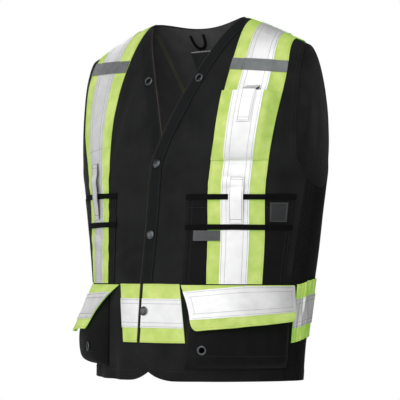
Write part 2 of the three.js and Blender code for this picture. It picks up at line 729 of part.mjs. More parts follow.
function addWebbing(side, strap) {
  const top = strap[side.name];
  const at = (column, z, offset) => frontAtHeight(side, column, z, offset);
  const heights = [top - WEBBING_HEIGHT, top];
  const across = columnsBetween(WEBBING_COLUMNS[side.name]);
  addSheet(`webbing_${strap.name}_${side.name}`, WEB_BLACK, across, heights, at, overWebbing, WEBBING);
}

// Bare labels on the left front
function addLabels() {
  const at = (column, z, offset) => frontAtHeight(LEFT, column, z, offset);
  const patch = columnsBetween(WOVEN_PATCH.columns);
  addSheet("woven_patch", LABEL_GREY, patch, [WOVEN_PATCH.bottom, WOVEN_PATCH.top], at, ON_PATCH, PATCH);
  const tag = columnsBetween(TAPE_TAG.columns);
  const onTape = overStrip(MIDDLE_COLUMN, TAPE_TAG.top);
  addSheet("tape_tag", LABEL_GREY, tag, [TAPE_TAG.bottom, TAPE_TAG.top], at, onTape, PATCH);
}

// Cargo pockets: a deep bag under a flap that stands out over it
function cargoOffset(turn, z) {
  const [inner, outer] = CARGO.turns;
  const part = (2 * (turn - inner)) / (outer - inner) - 1;
  const spread = 1 - Math.abs(part) ** CARGO_SQUARENESS;
  return CARGO.base + tableValue(CARGO_DEPTH, "z", z, "depth") * spread;
}

function cargoSeat(side) {
  const at = (turn, z, offset) => ringAt(side.sign * turn, z, offset);
  const offset = (turn, z) => cargoOffset(turn, z) + POUCH + EYELET.seat;
  return seatOn(at, CARGO_EYELET.turn, CARGO_EYELET.z, offset, STEP.turn, STEP.length);
}

function addCargoPocket(side) {
  const [inner, outer] = CARGO.turns;
  const across = CARGO_PARTS.map((part) => lerp(inner, outer, part));
  const at = (turn, z, offset) => ringAt(side.sign * turn, z, offset);
  const high = (turn, z) => cargoOffset(turn, z) + POUCH;
  const geometry = sheetGeometry(across, CARGO_HEIGHTS, at, cargoOffset, high);
  addPiece(`cargo_pocket_${side.name}`, pierced(geometry, cargoSeat(side)), BLACK);
}

function addCargoFlap(side) {
  const { top, outer, corner, base, reach } = CARGO_FLAP;
  const { inner, bottom, tapeTop, tapeBottom } = FLAP_SHAPES[side.name];
  const at = (part, down, offset) => {
    const past = Math.max((down - FLAP_CORNER_FROM) / (1 - FLAP_CORNER_FROM), 0);
    const inset = corner * (1 - Math.sqrt(1 - past * past));
    const start = lerp(inner[0], inner[1], Math.sin((down * Math.PI) / 2)) + inset;
    const end = lerp(outer[0], outer[1], down) - inset;
    const foot = lerp(bottom[0], bottom[1], part);
    return ringAt(side.sign * lerp(start, end, part), lerp(top, foot, down), offset);
  };
  const stand = (part, down) => {
    return base + reach * down * lerp(FLAP_END.reach, 1, smoothstep(part, 0, FLAP_END.part));
  };
  const across = steps(0, 1, FLAP_STEPS);
  addSheet(`cargo_flap_${side.name}`, LIME, across, FLAP_ROWS, at, stand, FLAP);
  const tapeDown = (part, step) => {
    const high = lerp(tapeTop[0], tapeTop[1], Math.min(2 * part, 1));
    return lerp(high, lerp(tapeBottom[0], tapeBottom[1], part), step);
  };
  const onTape = (part, step, offset) => at(part, tapeDown(part, step), offset);
  const tapeStand = (part, step) => stand(part, tapeDown(part, step)) + FLAP + GAP;
  const tapeSteps = steps(0, 1, FLAP_TAPE_STEPS);
  addSheet(`cargo_flap_tape_${side.name}`, SILVER, across, tapeSteps, onTape, tapeStand, TAPE);
}

// Metal fittings
function turned(profile) {
  const points = profile.map(({ radius, height }) => new THREE.Vector2(radius, height));
  return new THREE.LatheGeometry(points, ROUND_SIDES);
}

function placeFitting(name, geometry, seat) {
  const mesh = addPiece(name, geometry, GUNMETAL);
  mesh.position.copy(seat.point);
  mesh.quaternion.copy(seat.turn);
}

function addSnap({ name, z, layer }) {
  const row = rowAtHeight(FRONT, 0, z);
  const at = (c, r, offset) => frontAt(LEFT, c, r, offset);
  const stand = () => ON_PANEL + layer + EYELET.seat;
  const seat = seatOn(at, SNAP_COLUMN, row, stand, STEP.column, STEP.row);
  placeFitting(`snap_${name}`, turned(SNAP_PROFILE), seat);
}

function addEyelets(side) {
  placeFitting(`neck_eyelet_${side.name}`, turned(EYELET_PROFILE), neckEyeletSeat(side));
  placeFitting(`cargo_eyelet_${side.name}`, turned(EYELET_PROFILE), cargoSeat(side));
}

// Bare label and hang loop inside the back neck
function addNeckLabel() {
  const { middle, half, top, bottom, steps: count } = LABEL;
  const at = (x, z, offset) => panelAt(BACK, x, rowAtHeight(BACK, x, z), offset);
  const across = steps(middle - half, middle + half, count);
  addSheet("neck_label", LABEL_GREY, across, steps(bottom, top, count), at, INSIDE_OFFSET, PATCH);
}

function addHangLoop() {
  const at = (across, along, offset) => {
    const angle = Math.PI * along;
    const reach = LOOP.half + across;
    const x = LOOP.middle - reach * Math.cos(angle);
    const z = LOOP.top - (LOOP.drop + across) * Math.sin(angle) ** LOOP.roundness;
    return panelAt(BACK, x, rowAtHeight(BACK, x, z), offset);
  };
  const width = [-LOOP.width / 2, LOOP.width / 2];
  addSheet("hang_loop", WEB_BLACK, width, steps(0, 1, LOOP.steps), at, INSIDE_OFFSET, PATCH);
}

addBackPanel();
addBackNeckBand();
SIDES.forEach(addFrontPanel);
SIDES.forEach(addSideMesh);
SIDES.forEach(addEdgeBand);
SIDES.forEach(addFrontStrip);
SIDES.forEach(addBackStrip);
SHOULDER_TAPES.forEach(addShoulderTape);
SIDES.forEach(addWaistFront);
addWaistBack();
addChestPocket();
addChestTab();
TOOL_TABS.forEach(addToolTab);
SIDES.forEach(addPatchPocket);
SIDES.forEach((side) => WEBBING_ROWS.forEach((strap) => addWebbing(side, strap)));
addLabels();
SIDES.forEach(addCargoPocket);
SIDES.forEach(addCargoFlap);
SNAPS.forEach(addSnap);
SIDES.forEach(addEyelets);
addNeckLabel();
addHangLoop();

export default vest;
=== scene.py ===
# Surveyor safety vest: fine cloth, stitching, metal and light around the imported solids.
# Shapes are worked out in millimetres, and turned to metres when a mesh is made.
import math
from functools import partial
from types import SimpleNamespace as Kind

import bpy
import numpy as np
from mathutils import Matrix, Vector


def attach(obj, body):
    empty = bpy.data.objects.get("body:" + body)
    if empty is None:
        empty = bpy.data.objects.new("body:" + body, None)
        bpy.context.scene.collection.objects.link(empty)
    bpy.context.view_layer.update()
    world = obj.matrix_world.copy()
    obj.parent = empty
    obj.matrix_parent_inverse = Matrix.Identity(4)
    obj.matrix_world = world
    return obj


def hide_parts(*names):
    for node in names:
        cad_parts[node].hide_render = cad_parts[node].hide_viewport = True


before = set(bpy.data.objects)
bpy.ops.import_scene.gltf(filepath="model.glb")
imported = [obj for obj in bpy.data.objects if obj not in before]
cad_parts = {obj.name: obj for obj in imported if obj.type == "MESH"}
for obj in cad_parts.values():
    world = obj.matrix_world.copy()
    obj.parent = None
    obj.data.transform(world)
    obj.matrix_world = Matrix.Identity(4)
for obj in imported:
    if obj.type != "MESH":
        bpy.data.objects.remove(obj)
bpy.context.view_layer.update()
MM = 0.001
TINY = 1e-12

# Heights and half widths of the body of the vest
HEM_Z = -611
ARM_Z = -276
NECK_Z = 35
TIP_Z = -27
NECK_HALF = 103
TIP_HALF = 243
NECK_SOFTNESS = 28
BACK_NECK_DIP = 16
BACK_NECK_POWER = 1.5
SEAM_GAP = 0.4

# Level sections from the hem to the neck: height, half width, how far the front and the back stand out
SECTIONS = [
    (HEM_Z, 218, 166, 99),
    (-545, 220, 163, 118),
    (-440, 234, 154, 138),
    (-385, 243, 145, 142),
    (-313, 256, 135, 133),
    (ARM_Z, 263, 132, 129),
    (-200, 274, 127, 130),
    (-100, 279, 120, 124),
    (NECK_Z, 280, 112, 112),
]
FRONT = Kind(name="front", sign=-1, squareness=1.5, rise=(1.5, 2.6), flat=(1.5, 1.8), drift=40)
BACK = Kind(name="back", sign=1, squareness=1, rise=(1.6, 3), flat=(1.3, 1.8), drift=70)

# The two sides. The left front laps over the right one, so its edge is lifted clear of it
LEFT = Kind(name="left", sign=1, laps=True, lap=5, neck=105, corner_start=67,
            panel="front_left_panel", strip="front_left_strip")
RIGHT = Kind(name="right", sign=-1, laps=False, lap=19, neck=97, corner_start=29,
             panel="front_right_panel", strip="front_right_strip")
SIDES = (LEFT, RIGHT)
LAP = Kind(lift=2.1, full_to=26, gone_at=75)
CORNER = Kind(width=72, height=64)

# Thicknesses of the cloths, and where each layer lies above the panel's inner face
GAP = 0.35
PANEL = 1.5
PATCH = 1
STRIP = 1
TAPE = 1
WEBBING = 1.2
TAB = 1.2
POUCH = 2.4
CHEST_WALL = 1.4
FLAP = 1.6
ON_PANEL = PANEL + GAP
ON_PATCH = ON_PANEL + PATCH + GAP
ON_BACK = PANEL + 1.4
HEM_FOLD = Kind(height=20, bulge=0.5, soft=2, seam=3, top_row=-0.93)
ARM_FOLD = Kind(width=9, bulge=0.4, soft=2, rows=(0.05, 0.1))

# Lines of the fronts by row, which is -0.5 at the waist, 0 at the underarm and 1 at the shoulder
NECKLINE = Kind(row=0.136, power=1.25)
BAND_WIDTH = 25
BAND_TO_STRIP = 2
RIGHT_BAND = Kind(foot=0.2, thins=(0.255, 0.285), clearance=0.06, thickness=0.4)
EDGE_BAND_SEWN = (0.1, 0.9)
PIPING = Kind(radius=1.4, column=-0.02, offset=1.2, left=(-0.985, 0.97, 240), right=(0.13, 0.97, 130))
ARM_PIPING = Kind(radius=0.6, inset=-0.3, offset=0.8, rows=(0.1, 0.96, 130))
SIDE_SEAM_TURN = 0.8
ARMHOLE_ROWS = Kind(seam_top=0.06, straight=0.22)

# Edges of the front strips: row, inner edge, outer edge
STRIP_EDGES = {
    "left": [
        (-0.5, 115.5, 190.5),
        (-0.25, 113.5, 196.5),
        (-0.05, 111, 198.5),
        (0.2, 115, 206),
        (0.45, 120, 214.5),
        (0.78, 125, 223),
        (1, 121, 217),
    ],
    "right": [
        (-0.5, 97, 169),
        (-0.25, 107, 181),
        (-0.05, 112, 184),
        (0.2, 118, 205),
        (0.45, 120, 222),
        (0.78, 112, 230),
        (1, 103, 219),
    ],
}

# Columns of a front, from its edge to its outer seam, with the columns of the stitches on strip and tape
BAND_COLUMN = 1
STRIP_COLUMNS = (4, 8)
TAPE_COLUMNS = (5, 7)
MIDDLE_COLUMN = 6
LAST_COLUMN = 10
BESIDE_TAPE = ((4, 5), (7, 8))
FRONT_STRIP = Kind(border=0.04, strip=STRIP_COLUMNS, strip_sewn=(4.1, 7.9),
                   tape=TAPE_COLUMNS, tape_sewn=(5.1, 5.4, 6.6, 6.9))
BACK_STRIP = Kind(border=0.015, strip=(-1, 1), strip_sewn=(-0.95, 0.95),
                  tape=(-0.5, 0.5), tape_sewn=(-0.45, -0.32, 0.32, 0.45))

# Waist band, back strips, pockets, straps and labels
WAIST_ROW = -0.5
WAIST_Z = -443.5
STRIP_WIDTH = 101.6
TAPE_INSET = 25.4
WAIST_COLUMNS = {"left": Kind(start=0.24, top=2.6, foot=3.03), "right": Kind(start=1.02, top=2.68, foot=2.15)}
WAIST_BACK_TURN = 0.85
WAIST_RISE = Kind(height=10, start=0.8, end=1.15)
WAIST_SEWN = Kind(edge=2.5, tape_edge=2.2, tape_inner=9)
GATHER = Kind(pitch=0.021, tall=34, height=2.1, reach=0.24)
STRIP_FOOT_ROW = WAIST_ROW + 0.0015
BACK_FOOT_ROW = STRIP_FOOT_ROW + WAIST_RISE.height / (ARM_Z - HEM_Z)
CROSS = Kind(top=169, bottom=-95, half=59, lift=3.2, lift_to=105, lift_gone=165)
INSIDE_SEAM_PLACES = [(0.3, 82), (0.65, 105), (0.82, 115), (1, 116)]
INSIDE_SEAM_LINES = (0, 5)
BACK_BAND = Kind(row=0.9, lower_half=84, upper_half=102)
STRIP_STEP = Kind(low=-268, high=-240)
PATCH_POCKET = Kind(columns={"left": (2.78, 9.6), "right": (3.35, 9.6)}, top=-287, bottom=-443)
WEBBING_COLUMNS = {"left": (2.72, 9.65), "right": (3.28, 8.9)}
WEBBING_HEIGHT = 9.5
WEBBING_SLOPE = 0.15
SHOULDER_TAPE_SLOPE = 0.12
WEBBING_TOPS = {"upper": {"left": -288, "right": -282}, "lower": {"left": -340.5, "right": -334}}
SHOULDER_SEAM_ROWS = (0.938, 0.952)
RIGHT_STRIP_SEAM_ROW = 0.262
CHEST_POCKET = Kind(mouth=-113, seam=-229)
CHEST_DEPTH = [(0, 0), (0.12, 5), (0.35, 9.5), (0.7, 13), (1, 14)]
CHEST_GUSSET = Kind(inner=0.22, outer=0.72)
TOOL_TABS = {"left": Kind(top=-257, bottom=-339), "right": Kind(top=-226, bottom=-328)}
TOOL_TAB_COLUMNS = (5.6, 6.6)
TOOL_TAB_BOW = 4
TAB_SEWN = Kind(side=0.09, end=0.05)
CHEST_TAB = Kind(columns=(5.6, 6.5), top=-100, bottom=-166, over_mouth=1)
SHOULDER_TAPES = {"left": Kind(inner=-49, outer=-58, drop=20), "right": Kind(inner=-40, outer=-37, drop=22)}
WOVEN_PATCH = Kind(columns=(8.3, 9.3), top=-302, bottom=-336)
TAPE_TAG = Kind(columns=(3.25, 4.98), top=-351, bottom=-369)
CARGO = Kind(turns=(0.256, 0.82), bend=0.055, bottom=-588, round_to=-560, seam=-566, mouth=-456, base=2.1)
CARGO_DEPTH = [
    (-588, 0),
    (-585, 14),
    (-578, 24),
    (-563, 28),
    (-543, 29),
    (-525, 27),
    (-500, 18),
    (-475, 7.5),
    (-456, 2.5),
]
CARGO_SQUARENESS = 7
CARGO_CREASE = Kind(height=0.9, across=22, along=26, fades=(0.1, 0.6), low=-580, full=-560)
CARGO_FLAP = Kind(top=-445, outer=(0.83, 0.79), corner=0.03, corner_from=0.78, base=2.1, reach=41)
FLAP_END = Kind(reach=0.8, part=0.3)
FLAP_RIPPLE = Kind(height=0.8, across=5, along=2, full=0.3)
FLAP_SHAPES = {
    "left": Kind(inner=(0.205, 0.285), bottom=(-524, -503), tape_top=(0.15, 0.02), tape_bottom=(0.77, 0.72)),
    "right": Kind(inner=(0.17, 0.33), bottom=(-524, -530), tape_top=(0.17, 0.2), tape_bottom=(0.77, 0.77)),
}
SNAPS = [
    Kind(name="top", z=-234, layer=STRIP),
    Kind(name="middle", z=-358, layer=STRIP),
    Kind(name="bottom", z=-491, layer=STRIP + GAP + TAPE),
]
SNAP_COLUMN = 0.48
FITTING_SEAT = 0.5
EYELET_HOLE = 4.3
DRILL = Kind(sides=32, depth=30)
NECK_EYELET = Kind(column=0.55, z=-84)
CARGO_EYELET = Kind(turn=0.34, z=-556)
LABEL = Kind(middle=-26, half=25, top=-16, bottom=-74, sewn=(-24, 23))
LOOP = Kind(middle=-22, half=15, top=11, drop=24, width=5, roundness=0.7)
INSIDE_OFFSET = -2
MESH = Kind(pitch=4.2, hole=0.46, hole_corner=0.72, hem=30,
            radius=132, flat_radius=140, rise=16, cloth_share=0.93)

# Folds of the worn cloth: x, z, lean from level in degrees, half length, half width, height
FOLDS = {
    "front": [
        (52, -238, 4, 46, 11, 1.8),
        (45, -262, -32, 34, 10, 1.4),
        (66, -150, 66, 62, 15, 2.4),
        (92, -120, 76, 58, 12, 1.6),
        (-84, -150, 80, 80, 17, 2.4),
        (-58, -190, 62, 50, 14, 1.8),
        (-88, -315, -24, 36, 10, 1.6),
        (-60, -390, 28, 44, 13, 1.8),
        (58, -330, -12, 42, 13, 1.5),
        (70, -405, 24, 40, 12, 1.6),
        (152, -268, 3, 44, 9, 1.1),
        (158, -252, -8, 36, 8, 0.7),
        (-156, -262, 8, 42, 13, 1.4),
        (-150, -370, -14, 40, 13, 2.2),
        (-96, -590, 84, 60, 22, 3.4),
        (-42, -596, 96, 54, 20, 3),
        (80, -590, 80, 56, 24, 2.4),
        (222, -200, 86, 70, 16, 2),
        (-222, -210, 94, 70, 16, 2),
    ],
    "back": [
        (70, -370, 78, 110, 26, 3.2),
        (-78, -360, 101, 110, 26, 3.2),
        (4, -430, 5, 90, 22, 2.6),
        (-10, -150, 88, 80, 24, 2),
        (150, -180, 58, 80, 20, 2.6),
        (-150, -180, 122, 80, 20, 2.6),
        (40, -580, 84, 56, 24, 3),
        (-60, -585, 98, 56, 24, 3),
        (205, -150, 80, 70, 16, 2.2),
        (-205, -150, 100, 70, 16, 2.2),
    ],
}
FOLD = Kind(fade=1.6, wave=1.3)
CALM = Kind(sides=(0.3, 0.5), top=(0.8, 0.97))

# Rumples all over the cloth: width, height on the cloth, how far they lift it
RUMPLES = [(46, 70, 0.7), (17, 24, 0.22)]


# Small tools for curves, steps and noise
def lerp(a, b, t):
    return a + (b - a) * t


def smooth(x, low, high):
    t = np.clip((x - low) / (high - low), 0, 1)
    return t * t * (3 - 2 * t)


def unit(vectors):
    return vectors / np.maximum(np.linalg.norm(vectors, axis=-1, keepdims=True), TINY)


def curve(table, column=1):
    """A smooth curve through one column of a table, over its first column."""
    rows = np.array(table, float)
    keys, values = rows[:, 0], rows[:, column]
    last = len(keys) - 1
    before = np.maximum(np.arange(last + 1) - 1, 0)
    after = np.minimum(np.arange(last + 1) + 1, last)
    slopes = (values[after] - values[before]) / (keys[after] - keys[before])

    def at(x):
        i = np.clip(np.searchsorted(keys, x) - 1, 0, last - 1)
        span = keys[i + 1] - keys[i]
        t = np.clip((x - keys[i]) / span, 0, 1)
        start = (t**3 - 2 * t**2 + t) * span * slopes[i]
        end = (t**3 - t**2) * span * slopes[i + 1]
        return lerp(values[i], values[i + 1], t * t * (3 - 2 * t)) + start + end

    return at


HALF = curve(SECTIONS)
DEPTH = {"front": curve(SECTIONS, 2), "back": curve(SECTIONS, 3)}
STRIP_INNER = {name: curve(table) for name, table in STRIP_EDGES.items()}
STRIP_OUTER = {name: curve(table, 2) for name, table in STRIP_EDGES.items()}
INSIDE_SEAM = curve(INSIDE_SEAM_PLACES)
CHEST_CURVE = curve(CHEST_DEPTH)
CARGO_CURVE = curve(CARGO_DEPTH)
CELLS = 97
LATTICE = np.random.default_rng(11).uniform(-1, 1, (CELLS, CELLS))


def noise(u, v):
    """Smooth noise from -1 to 1 on a lattice of unit cells."""
    i = np.floor(u).astype(int)
    j = np.floor(v).astype(int)
    s = smooth(u - i, 0, 1)
    t = smooth(v - j, 0, 1)
    corner = lambda p, q: LATTICE[(i + p) % CELLS, (j + q) % CELLS]
    return lerp(lerp(corner(0, 0), corner(1, 0), s), lerp(corner(0, 1), corner(1, 1), s), t)


def fold_height(face, x, z):
    """How far folds and rumples lift the cloth off its plain form."""
    total = np.zeros(np.broadcast(x, z).shape)
    for middle_x, middle_z, lean, length, width, height in FOLDS[face.name]:
        cos, sin = math.cos(math.radians(lean)), math.sin(math.radians(lean))
        along = (x - middle_x) * cos + (z - middle_z) * sin
        beside = (z - middle_z) * cos - (x - middle_x) * sin
        fade = np.exp(-((along / length) ** 2) - (beside / (FOLD.fade * width)) ** 2)
        total = total + height * fade * np.cos(np.pi * beside / (FOLD.wave * width))
    for across, along, height in RUMPLES:
        total = total + height * noise(x / across + face.drift, z / along + face.drift)
    return total


# The body's surface, and the steps that find its slope
STEP = Kind(mm=0.5, part=0.003)


def shoulder_height(x):
    past = np.abs(x) - NECK_HALF
    run = (past + np.hypot(past, NECK_SOFTNESS)) / 2
    return lerp(NECK_Z, TIP_Z, run / (TIP_HALF - NECK_HALF))


def panel_top(face, x):
    dip = BACK_NECK_DIP if face is BACK else 0
    return shoulder_height(x) - dip * np.maximum(1 - (x / NECK_HALF) ** 2, 0) ** BACK_NECK_POWER


def round_over(face, x, climb):
    outward = smooth(np.abs(x), 0, TIP_HALF)
    return (1 - np.clip(climb, 0, 1) ** lerp(*face.rise, outward)) ** (1 / lerp(*face.flat, outward))


def panel_point(face, x, row):
    row = np.minimum(row, 1)
    z = height_at(row, panel_top(face, x))
    climb = np.maximum((z - ARM_Z) / (shoulder_height(x) - ARM_Z), 0)
    across = np.sqrt(np.maximum(1 - (x / HALF(z)) ** 2, 0))
    depth = DEPTH[face.name](z) * across**face.squareness * round_over(face, x, climb)
    calm = smooth(across, *CALM.sides) * (1 - smooth(row, *CALM.top))
    depth = depth + SEAM_GAP / 2 * np.maximum(row, 0) + calm * fold_height(face, x, z)
    return np.stack(np.broadcast_arrays(x, face.sign * depth, z), -1)


def ring_point(turn, z):
    """A point of the body below the underarm: turn 0 front middle, 1 left, 2 back middle, 3 right."""
    angle = turn * np.pi / 2
    across = np.abs(np.cos(angle))
    x = HALF(z) * np.sin(angle)
    calm = smooth(across, *CALM.sides)
    stand = lambda face: DEPTH[face.name](z) * across**face.squareness + calm * fold_height(face, x, z)
    y = np.where(np.cos(angle) > 0, -stand(FRONT), stand(BACK))
    return np.stack(np.broadcast_arrays(x, y, z), -1)


def lifted(point, a, b, step_a, step_b, offset, sign=1):
    """A place that stands off a surface, along the surface's normal."""
    along_a = point(a + step_a, b) - point(a - step_a, b)
    along_b = point(a, b + step_b) - point(a, b - step_b)
    return point(a, b) + unit(np.cross(along_a, along_b) * sign) * np.asarray(offset)[..., None]


def panel_at(face, x, row, offset):
    return lifted(partial(panel_point, face), x, row, STEP.mm, STEP.part, offset, -face.sign)


def ring_at(turn, z, offset):
    return lifted(ring_point, turn, z, STEP.part, STEP.mm, offset)


def height_at(row, top=TIP_Z):
    return np.where(row < 0, lerp(ARM_Z, HEM_Z, -row), lerp(ARM_Z, top, row))


def row_at_height(face, x, z):
    return np.where(z < ARM_Z, (z - ARM_Z) / (ARM_Z - HEM_Z), (z - ARM_Z) / (panel_top(face, x) - ARM_Z))


# Lines that the fronts' pieces follow
def front_edge(side, row):
    climb = np.clip((row - NECKLINE.row) / (1 - NECKLINE.row), 0, 1)
    return lerp(-side.lap, side.neck, climb**NECKLINE.power)


def outer_edge(row):
    seam = HALF(height_at(row)) * math.sin(SIDE_SEAM_TURN * math.pi / 2) - GAP
    return lerp(seam, TIP_HALF, smooth(row, ARMHOLE_ROWS.seam_top, ARMHOLE_ROWS.straight))


def front_column(side, column, row):
    inner, outer = STRIP_INNER[side.name](row), STRIP_OUTER[side.name](row)
    edge = front_edge(side, row)
    band = np.minimum(edge + BAND_WIDTH, inner - BAND_TO_STRIP)
    first, last = STRIP_COLUMNS
    zones = [column <= BAND_COLUMN, column <= first, column <= last]
    places = [
        lerp(edge, band, column),
        lerp(band, inner, (column - BAND_COLUMN) / (first - BAND_COLUMN)),
        lerp(inner, outer, (column - first) / (last - first)),
    ]
    return np.select(zones, places, lerp(outer, outer_edge(row), (column - last) / (LAST_COLUMN - last)))


def front_at(side, column, row, offset):
    x = front_column(side, column, row)
    lift = LAP.lift * (1 - smooth(x, LAP.full_to, LAP.gone_at)) if side.laps else 0
    return panel_at(FRONT, side.sign * x, row, offset + lift)


def front_at_height(side, column, z, offset):
    start = front_column(side, column, np.zeros_like(z))
    guess = front_column(side, column, row_at_height(FRONT, start, z))
    return front_at(side, column, row_at_height(FRONT, guess, z), offset)


def cornered_at(side, column, row, offset):
    """A front's bottom corner is rounded off: its low rows draw up towards the edge."""
    past = np.clip((side.corner_start - front_column(side, column, row)) / CORNER.width, 0, 1)
    rise = CORNER.height * (1 - np.sqrt(1 - past * past))
    drawn = row - np.minimum(row - WAIST_ROW, 0) * rise / (WAIST_Z - HEM_Z)
    return front_at(side, column, drawn, offset)


def armhole_at(face, side, inset, row, offset):
    return panel_at(face, side.sign * (outer_edge(row) - inset), row, offset)


def back_at(part, row, offset):
    reach = np.abs(part)
    outer = lerp(NECK_HALF, outer_edge(row), (reach - 0.5) * 2)
    return panel_at(BACK, np.sign(part) * np.where(reach < 0.5, NECK_HALF * reach * 2, outer), row, offset)


# Meshes
CROWDING = 1.6
BORDER = 0.8
SHARP_DEGREES = 42
ASKEW = (0.31, 0.17, 0.93)
TOP_STITCH_ROW = 0.985


def lines(start, end, count, border=0):
    """Even grid lines, with one more close to each end where an edge has a border."""
    found = np.linspace(start, end, count + 1)
    if border:
        step = math.copysign(border, end - start)
        found = np.sort(np.concatenate([found, [start + step, end - step]]))
    return found


def crowded(start, end, count):
    """Grid lines that crowd towards the end."""
    left = np.linspace(1, 0, count + 1)
    return end - (end - start) * left**CROWDING


def joined(*zones):
    return np.unique(np.concatenate(zones))


def placed(name, data):
    """A new object in the scene."""
    thing = bpy.data.objects.new(name, data)
    bpy.context.scene.collection.objects.link(thing)
    return thing


def new_object(name, points, faces):
    mesh = bpy.data.meshes.new(name)
    mesh.from_pydata((np.asarray(points) * MM).tolist(), [], faces)
    mesh.shade_smooth()
    mesh.set_sharp_from_angle(angle=math.radians(SHARP_DEGREES))
    return placed(name, mesh)


def running(points):
    """Length along a path, from its start to each of its points."""
    steps = np.linalg.norm(np.diff(points, axis=0), axis=-1)
    return np.concatenate([[0], np.cumsum(steps)])


def line_inside(piece, count, lining, rim):
    """Gives the inner face of a sheet, and its rim where asked, a material of its own, such as the lightened
    lining, and the black painted shade inside the chest pocket and the tabs.
    """
    piece.data.materials.append(lining)
    for face in piece.data.polygons[count:len(piece.data.polygons) if rim else 2 * count]:
        face.material_index = 1


def rim_walls(index, size):
    """The narrow faces round the rim of a sheet, whose lower points are numbered a size later."""
    rim = np.concatenate([index[0, :-1], index[:-1, -1], index[-1, :0:-1], index[:0:-1, 0]])
    following = np.roll(rim, -1)
    return np.stack([rim, rim + size, following + size, following], -1)


def cloth_object(name, low, high):
    """A closed sheet between two grids of points, with its grain laid out as UVs in metres."""
    rows, columns = low.shape[:2]
    size = rows * columns
    index = np.arange(size).reshape(rows, columns)
    top = np.stack([index[:-1, :-1], index[:-1, 1:], index[1:, 1:], index[1:, :-1]], -1).reshape(-1, 4)
    faces = np.concatenate([top, top[:, ::-1] + size, rim_walls(index, size)])
    flat_high = high.reshape(-1, 3)
    first = flat_high[top[:, 0]]
    crossing = np.cross(flat_high[top[:, 1]] - first, flat_high[top[:, 3]] - first)
    if (crossing * (high - low).reshape(-1, 3)[top[:, 0]]).sum() < 0:
        faces = faces[:, ::-1]
    piece = new_object(name, np.concatenate([flat_high, low.reshape(-1, 3)]), faces.tolist())
    across, along = np.meshgrid(running(high[rows // 2]), running(high[:, columns // 2]))
    grain = np.stack([across, along], -1).reshape(-1, 2) * MM
    corners = np.empty(len(piece.data.loops), int)
    piece.data.loops.foreach_get("vertex_index", corners)
    piece.data.uv_layers.new(name="grain").data.foreach_set("uv", grain[corners % size].ravel())
    return piece


def value(thing, a, b):
    return thing(a, b) if callable(thing) else np.full(a.shape, float(thing))


def raised(base, height):
    """A layer that lies a height above another one."""
    return lambda a, b: value(base, a, b) + height


def dress(piece, look, *nodes):
    """Gives a piece its material and its body, and hides the solids that it stands for."""
    piece.data.materials.append(LOOKS[look].material)
    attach(piece, "root")
    if nodes:
        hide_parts(*nodes)
    return piece


def add_sheet(node, look, across, along, at, inner, thickness,
              lining=None, rim=False):
    """A fine sheet of cloth in place of a node."""
    a, b = np.meshgrid(across, along)
    low = value(inner, a, b)
    high = low + value(thickness, a, b)
    under, over = at(a, b, low), at(a, b, high)
    piece = dress(cloth_object(f"{node}_cloth", under, over), look, node)
    if lining:
        line_inside(piece, (len(along) - 1) * (len(across) - 1), lining, rim)
    return piece


def ring_faces(rings, sides, closed=False):
    """Faces from each ring of points to the next one."""
    faces = []
    for i in range(rings if closed else rings - 1):
        below, above = i * sides, (i + 1) % rings * sides
        for j in range(sides):
            k = (j + 1) % sides
            faces.append((below + j, below + k, above + k, above + j))
    return faces


def tube(name, path, radius, look, sides=6):
    """A thin closed cord of cloth along a path."""
    ahead = unit(np.gradient(path, axis=0))
    side = unit(np.cross(ahead, ASKEW))
    up = np.cross(side, ahead)
    angles = np.arange(sides) * 2 * np.pi / sides
    ring = np.cos(angles)[None, :, None] * side[:, None] + np.sin(angles)[None, :, None] * up[:, None]
    points = (path[:, None] + radius * ring).reshape(-1, 3)
    faces = ring_faces(len(path), sides)
    faces.append(tuple(range(sides))[::-1])
    faces.append(tuple((len(path) - 1) * sides + j for j in range(sides)))
    return dress(new_object(name, points, faces), look)


# Stitches: short raised threads set along lines on the cloth
THREADS = {}
STITCH = Kind(pitch=3.3, length=2.7, width=0.8, height=0.42)
BLACK_FRONT = "stitches_black_front"
BLACK_BACK = "stitches_black_back"
LIME_FRONT = "stitches_lime"
LIME_BACK = "stitches_lime_back"
LIME_INSIDE = "stitches_lime_inside"
WHITE_FRONT = "stitches_white_front"
WHITE_BACK = "stitches_white_back"
FRONT_GROUPS = (LIME_FRONT, WHITE_FRONT)
BACK_GROUPS = (LIME_BACK, WHITE_BACK)
SHOULDER_SEAMS = "stitches_shoulder"
LABEL_EDGES = "stitches_label"
NECK_LABEL_EDGE = "stitches_neck_label"


def sew(group, at, a, b, offset):
    """Notes one line of stitches along the places a and b of a surface."""
    a, b = np.broadcast_arrays(np.asarray(a, float), np.asarray(b, float))
    stand = value(offset, a, b)
    foot = at(a, b, stand)
    THREADS.setdefault(group, []).append((foot, at(a, b, stand + 1) - foot))


def sew_columns(group, at, columns, along, offset):
    for column in columns:
        sew(group, at, column, along, offset)


def sew_rows(group, at, across, rows, offset):
    for row in rows:
        sew(group, at, across, row, offset)


def stitch_places(path, normals):
    run = running(path)
    count = max(int(run[-1] / STITCH.pitch), 1)
    places = (np.arange(count) + 0.5) * run[-1] / count
    sample = lambda values, at: np.stack([np.interp(at, run, values[:, k]) for k in range(3)], -1)
    ahead = sample(path, places + 0.5) - sample(path, places - 0.5)
    return sample(path, places), unit(ahead), unit(sample(normals, places))


